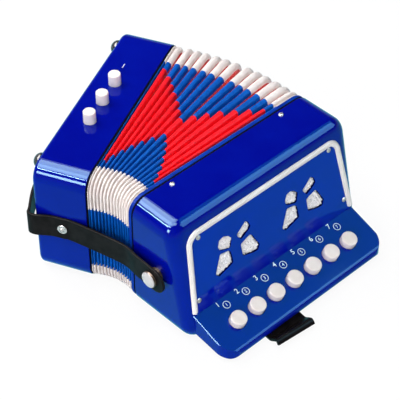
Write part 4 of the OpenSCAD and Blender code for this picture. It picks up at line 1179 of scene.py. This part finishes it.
BARE_SIZE, BARE_AT, BARE_SHIFT = 5.6, 2.6, -3.6
RINGED_SIZE, RINGED_AT, RINGED_SHIFT = 3.6, 6.2, 2.0
marks = []
for k in range(1, 8):
    marks.append(number(str(k), BARE_SIZE, BARE_AT, button_y(k) + BARE_SHIFT))
    marks.append(number(str(k), RINGED_SIZE, RINGED_AT, button_y(k) + RINGED_SHIFT))
    ring = turned("ring", [(2.5, -0.02), (2.95, -0.02), (2.95, 0.03), (2.5, 0.03)], 36)
    marks.append(put(ring, printed_at(RINGED_AT, button_y(k) + RINGED_SHIFT)))
prints = join("ledge_marks", marks)
dress(prints, ink, "white_plastic", "treble")

# %% The dash
DASH_X, DASH_LOW, DASH_HIGH, DASH_HALF = BASS_SEAM - 24.5, 39, 44, 0.3
left, right = DASH_X - DASH_HALF, DASH_X + DASH_HALF
dash_outline = [(left, DASH_LOW), (right, DASH_LOW), (right, DASH_HIGH), (left, DASH_HIGH)]
dash = slab("bass_mark", dash_outline, on_front, BOX_HEIGHT, BOX_HEIGHT + 0.04)
dress(put(dash, fanned(1)), ink, "white_plastic", "bass")

# %% [markdown]
# ## Inside
# The action and the reeds hardly show. They could be modelled again too, but their solids already have
# the right shapes, so they stay as they are and only get their finishes: pale wood, brass plates,
# steel wire and grey levers.

# %% Finishes of the inner pieces
INSIDE = {
    "treble_soundboard": pale_wood, "treble_reed_block": pale_wood, "valve_plate": pale_wood,
    "bass_reed_block": pale_wood, "treble_reed_plates": reed_brass, "bass_reed_plates": reed_brass,
    "lever_shaft": wire_steel, "lever_springs": wire_steel,
}
INSIDE.update({f"treble_lever_{k}": lever_grey for k in range(1, 8)})
for name, finish in INSIDE.items():
    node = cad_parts[name]
    node.data.materials.clear()
    node.data.materials.append(finish)
print("inner pieces", len(INSIDE))

# %% [markdown]
# A coil spring under each bass button shortens when the button goes down. Each coil here is a copy
# of the solid's mesh with its doubles merged, with a mesh of its own, and rides on the bass box.

# %% Springs under the bass buttons
for k in (1, 2, 3):
    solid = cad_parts[f"valve_spring_{k}"]
    spring = bpy.data.objects.new(f"valve_coil_{k}", solid.data.copy())
    bpy.context.collection.objects.link(spring)
    tidy_mesh(spring)
    dress(smooth(spring, 60), wire_steel, "spring_steel", "bass", f"valve_spring_{k}")
    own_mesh(spring)

# %% [markdown]
# ## Table, light and camera
# A white table that keeps the soft shadow. To the camera it is white; in reflections it is blue-green,
# because the sides of the real boxes have a bluish sheen that a white table would turn grey. A broad
# window lamp on the left, a lamp by the camera, one above and a small one over the bass box light the
# colours. One lamp could not do both jobs, so sheen lamps that show only as reflections draw the pale
# bands along the rounded edges. The camera stands as in the photograph: high in front of the treble
# side's near corner, with a long lens.

# %% The table
clear_selection()
bpy.ops.mesh.primitive_plane_add(size=6, location=(0, 0, -0.0004))
table = bpy.context.object
table.name = "table"
paint = bpy.data.materials.new("table_white")
paint.use_nodes = True
nodes, links = paint.node_tree.nodes, paint.node_tree.links
rays = nodes.new("ShaderNodeLightPath")
TO_CAMERA = ("Is Camera Ray", (1, 1, 1, 1), 0.92)
IN_GLOSS = ("Is Glossy Ray", (0.18, 0.74, 0.80, 1), 0.96)
matte = nodes["Principled BSDF"]
matte.inputs["Base Color"].default_value = (0.9, 0.9, 0.9, 1)
matte.inputs["Roughness"].default_value = 0.9
surface = matte.outputs["BSDF"]
for ray, colour, share in (TO_CAMERA, IN_GLOSS):
    glow = nodes.new("ShaderNodeEmission")
    glow.inputs["Color"].default_value = colour
    part = nodes.new("ShaderNodeMath")
    part.operation = "MULTIPLY"
    part.inputs[1].default_value = share
    mix = nodes.new("ShaderNodeMixShader")
    links.new(rays.outputs[ray], part.inputs[0])
    links.new(part.outputs[0], mix.inputs["Fac"])
    links.new(surface, mix.inputs[1])
    links.new(glow.outputs["Emission"], mix.inputs[2])
    surface = mix.outputs["Shader"]
links.new(surface, nodes["Material Output"].inputs["Surface"])
table.data.materials.append(paint)
print("table", [round(side, 2) for side in table.dimensions])

# %% The room
world = bpy.data.worlds.new("room")
bpy.context.scene.world = world
world.use_nodes = True
nodes, links = world.node_tree.nodes, world.node_tree.links
where = nodes.new("ShaderNodeTexCoord")
axes = nodes.new("ShaderNodeSeparateXYZ")
height = nodes.new("ShaderNodeValToRGB")
skyline, overhead = height.color_ramp.elements
skyline.position, overhead.position = 0.08, 0.34
skyline.color, overhead.color = (0.45, 0.55, 0.70, 1), (0.06, 0.065, 0.08, 1)
links.new(where.outputs["Generated"], axes.inputs["Vector"])
links.new(axes.outputs["Z"], height.inputs["Fac"])
links.new(height.outputs["Color"], nodes["Background"].inputs["Color"])
print("room", world.name)


# %% The lamps
def lamp(name, place, aim, size, power, roll=0.0):
    clear_selection()
    bpy.ops.object.light_add(type="AREA", location=place)
    obj = bpy.context.object
    obj.name = name
    obj.data.shape = "RECTANGLE"
    obj.data.size, obj.data.size_y = size
    obj.data.energy = power
    facing = (Vector(place) - Vector(aim)).to_track_quat("Z", "Y").to_matrix()
    obj.rotation_euler = (facing @ Matrix.Rotation(math.radians(roll), 3, "Z")).to_euler()
    return obj


MIDDLE = (0, 0, 0.05)
lamp("left_window", (-0.85, -0.15, 1.2), MIDDLE, (1.3, 1.1), 18)
lamp("camera_lamp", (0.65, -1.35, 0.85), MIDDLE, (0.9, 0.8), 16).visible_glossy = False
lamp("top_lamp", (0.3, -0.25, 1.6), MIDDLE, (0.5, 0.5), 8)
lamp("bass_fill", (-0.34, 0.0, 0.5), (-0.15, 0, 0.1), (0.2, 0.2), 0.35).visible_glossy = False
far_sheen = lamp("far_sheen", (0.32, 0.8, 1.35), MIDDLE, (0.9, 0.6), 3.2)
far_sheen.data.color = (0.1, 0.9, 1.0)
edge_sheen = lamp("edge_sheen", (0.83, 0.8, 1.1), MIDDLE, (1.0, 0.9), 24)
edge_sheen.data.color = (0.4, 0.75, 1.0)
for shine in (
    far_sheen,
    edge_sheen,
    lamp("left_sheen", (-0.43, -0.24, 1.36), MIDDLE, (1.3, 1.2), 65),
    lamp("low_sheen", (-0.41, -0.57, 1.24), MIDDLE, (1.2, 0.4), 12, roll=27),
    lamp("low_strip", (-0.37, -0.85, 1.0), MIDDLE, (1.2, 0.05), 22, roll=27),
    lamp("near_sheen", (0.0, -1.25, 0.74), MIDDLE, (0.5, 0.3), 18),
):
    shine.visible_diffuse = False
print("lamps", len(bpy.data.lights))

# %% The camera
EYE = Vector((0.57760, -0.60253, 0.84328))
RIGHT = Vector((0.69138, 0.72249, -0.00149))
UP = -Vector((0.49212, -0.47245, -0.73117))
BACK = -Vector((-0.52896, 0.50478, -0.68220))
LENS_PIXELS, HALF_IMAGE = 1608.38, 200
bpy.ops.object.camera_add(location=EYE)
camera = bpy.context.object
axes = Matrix((RIGHT, UP, BACK)).transposed()
camera.matrix_world = Matrix.Translation(EYE) @ axes.to_4x4()
camera.data.sensor_fit = "HORIZONTAL"
camera.data.angle = 2 * math.atan(HALF_IMAGE / LENS_PIXELS)
camera.data.clip_start = 0.05
bpy.context.scene.camera = camera
bpy.context.scene.view_settings.view_transform = "Standard"
print("camera angle", round(math.degrees(camera.data.angle), 2))
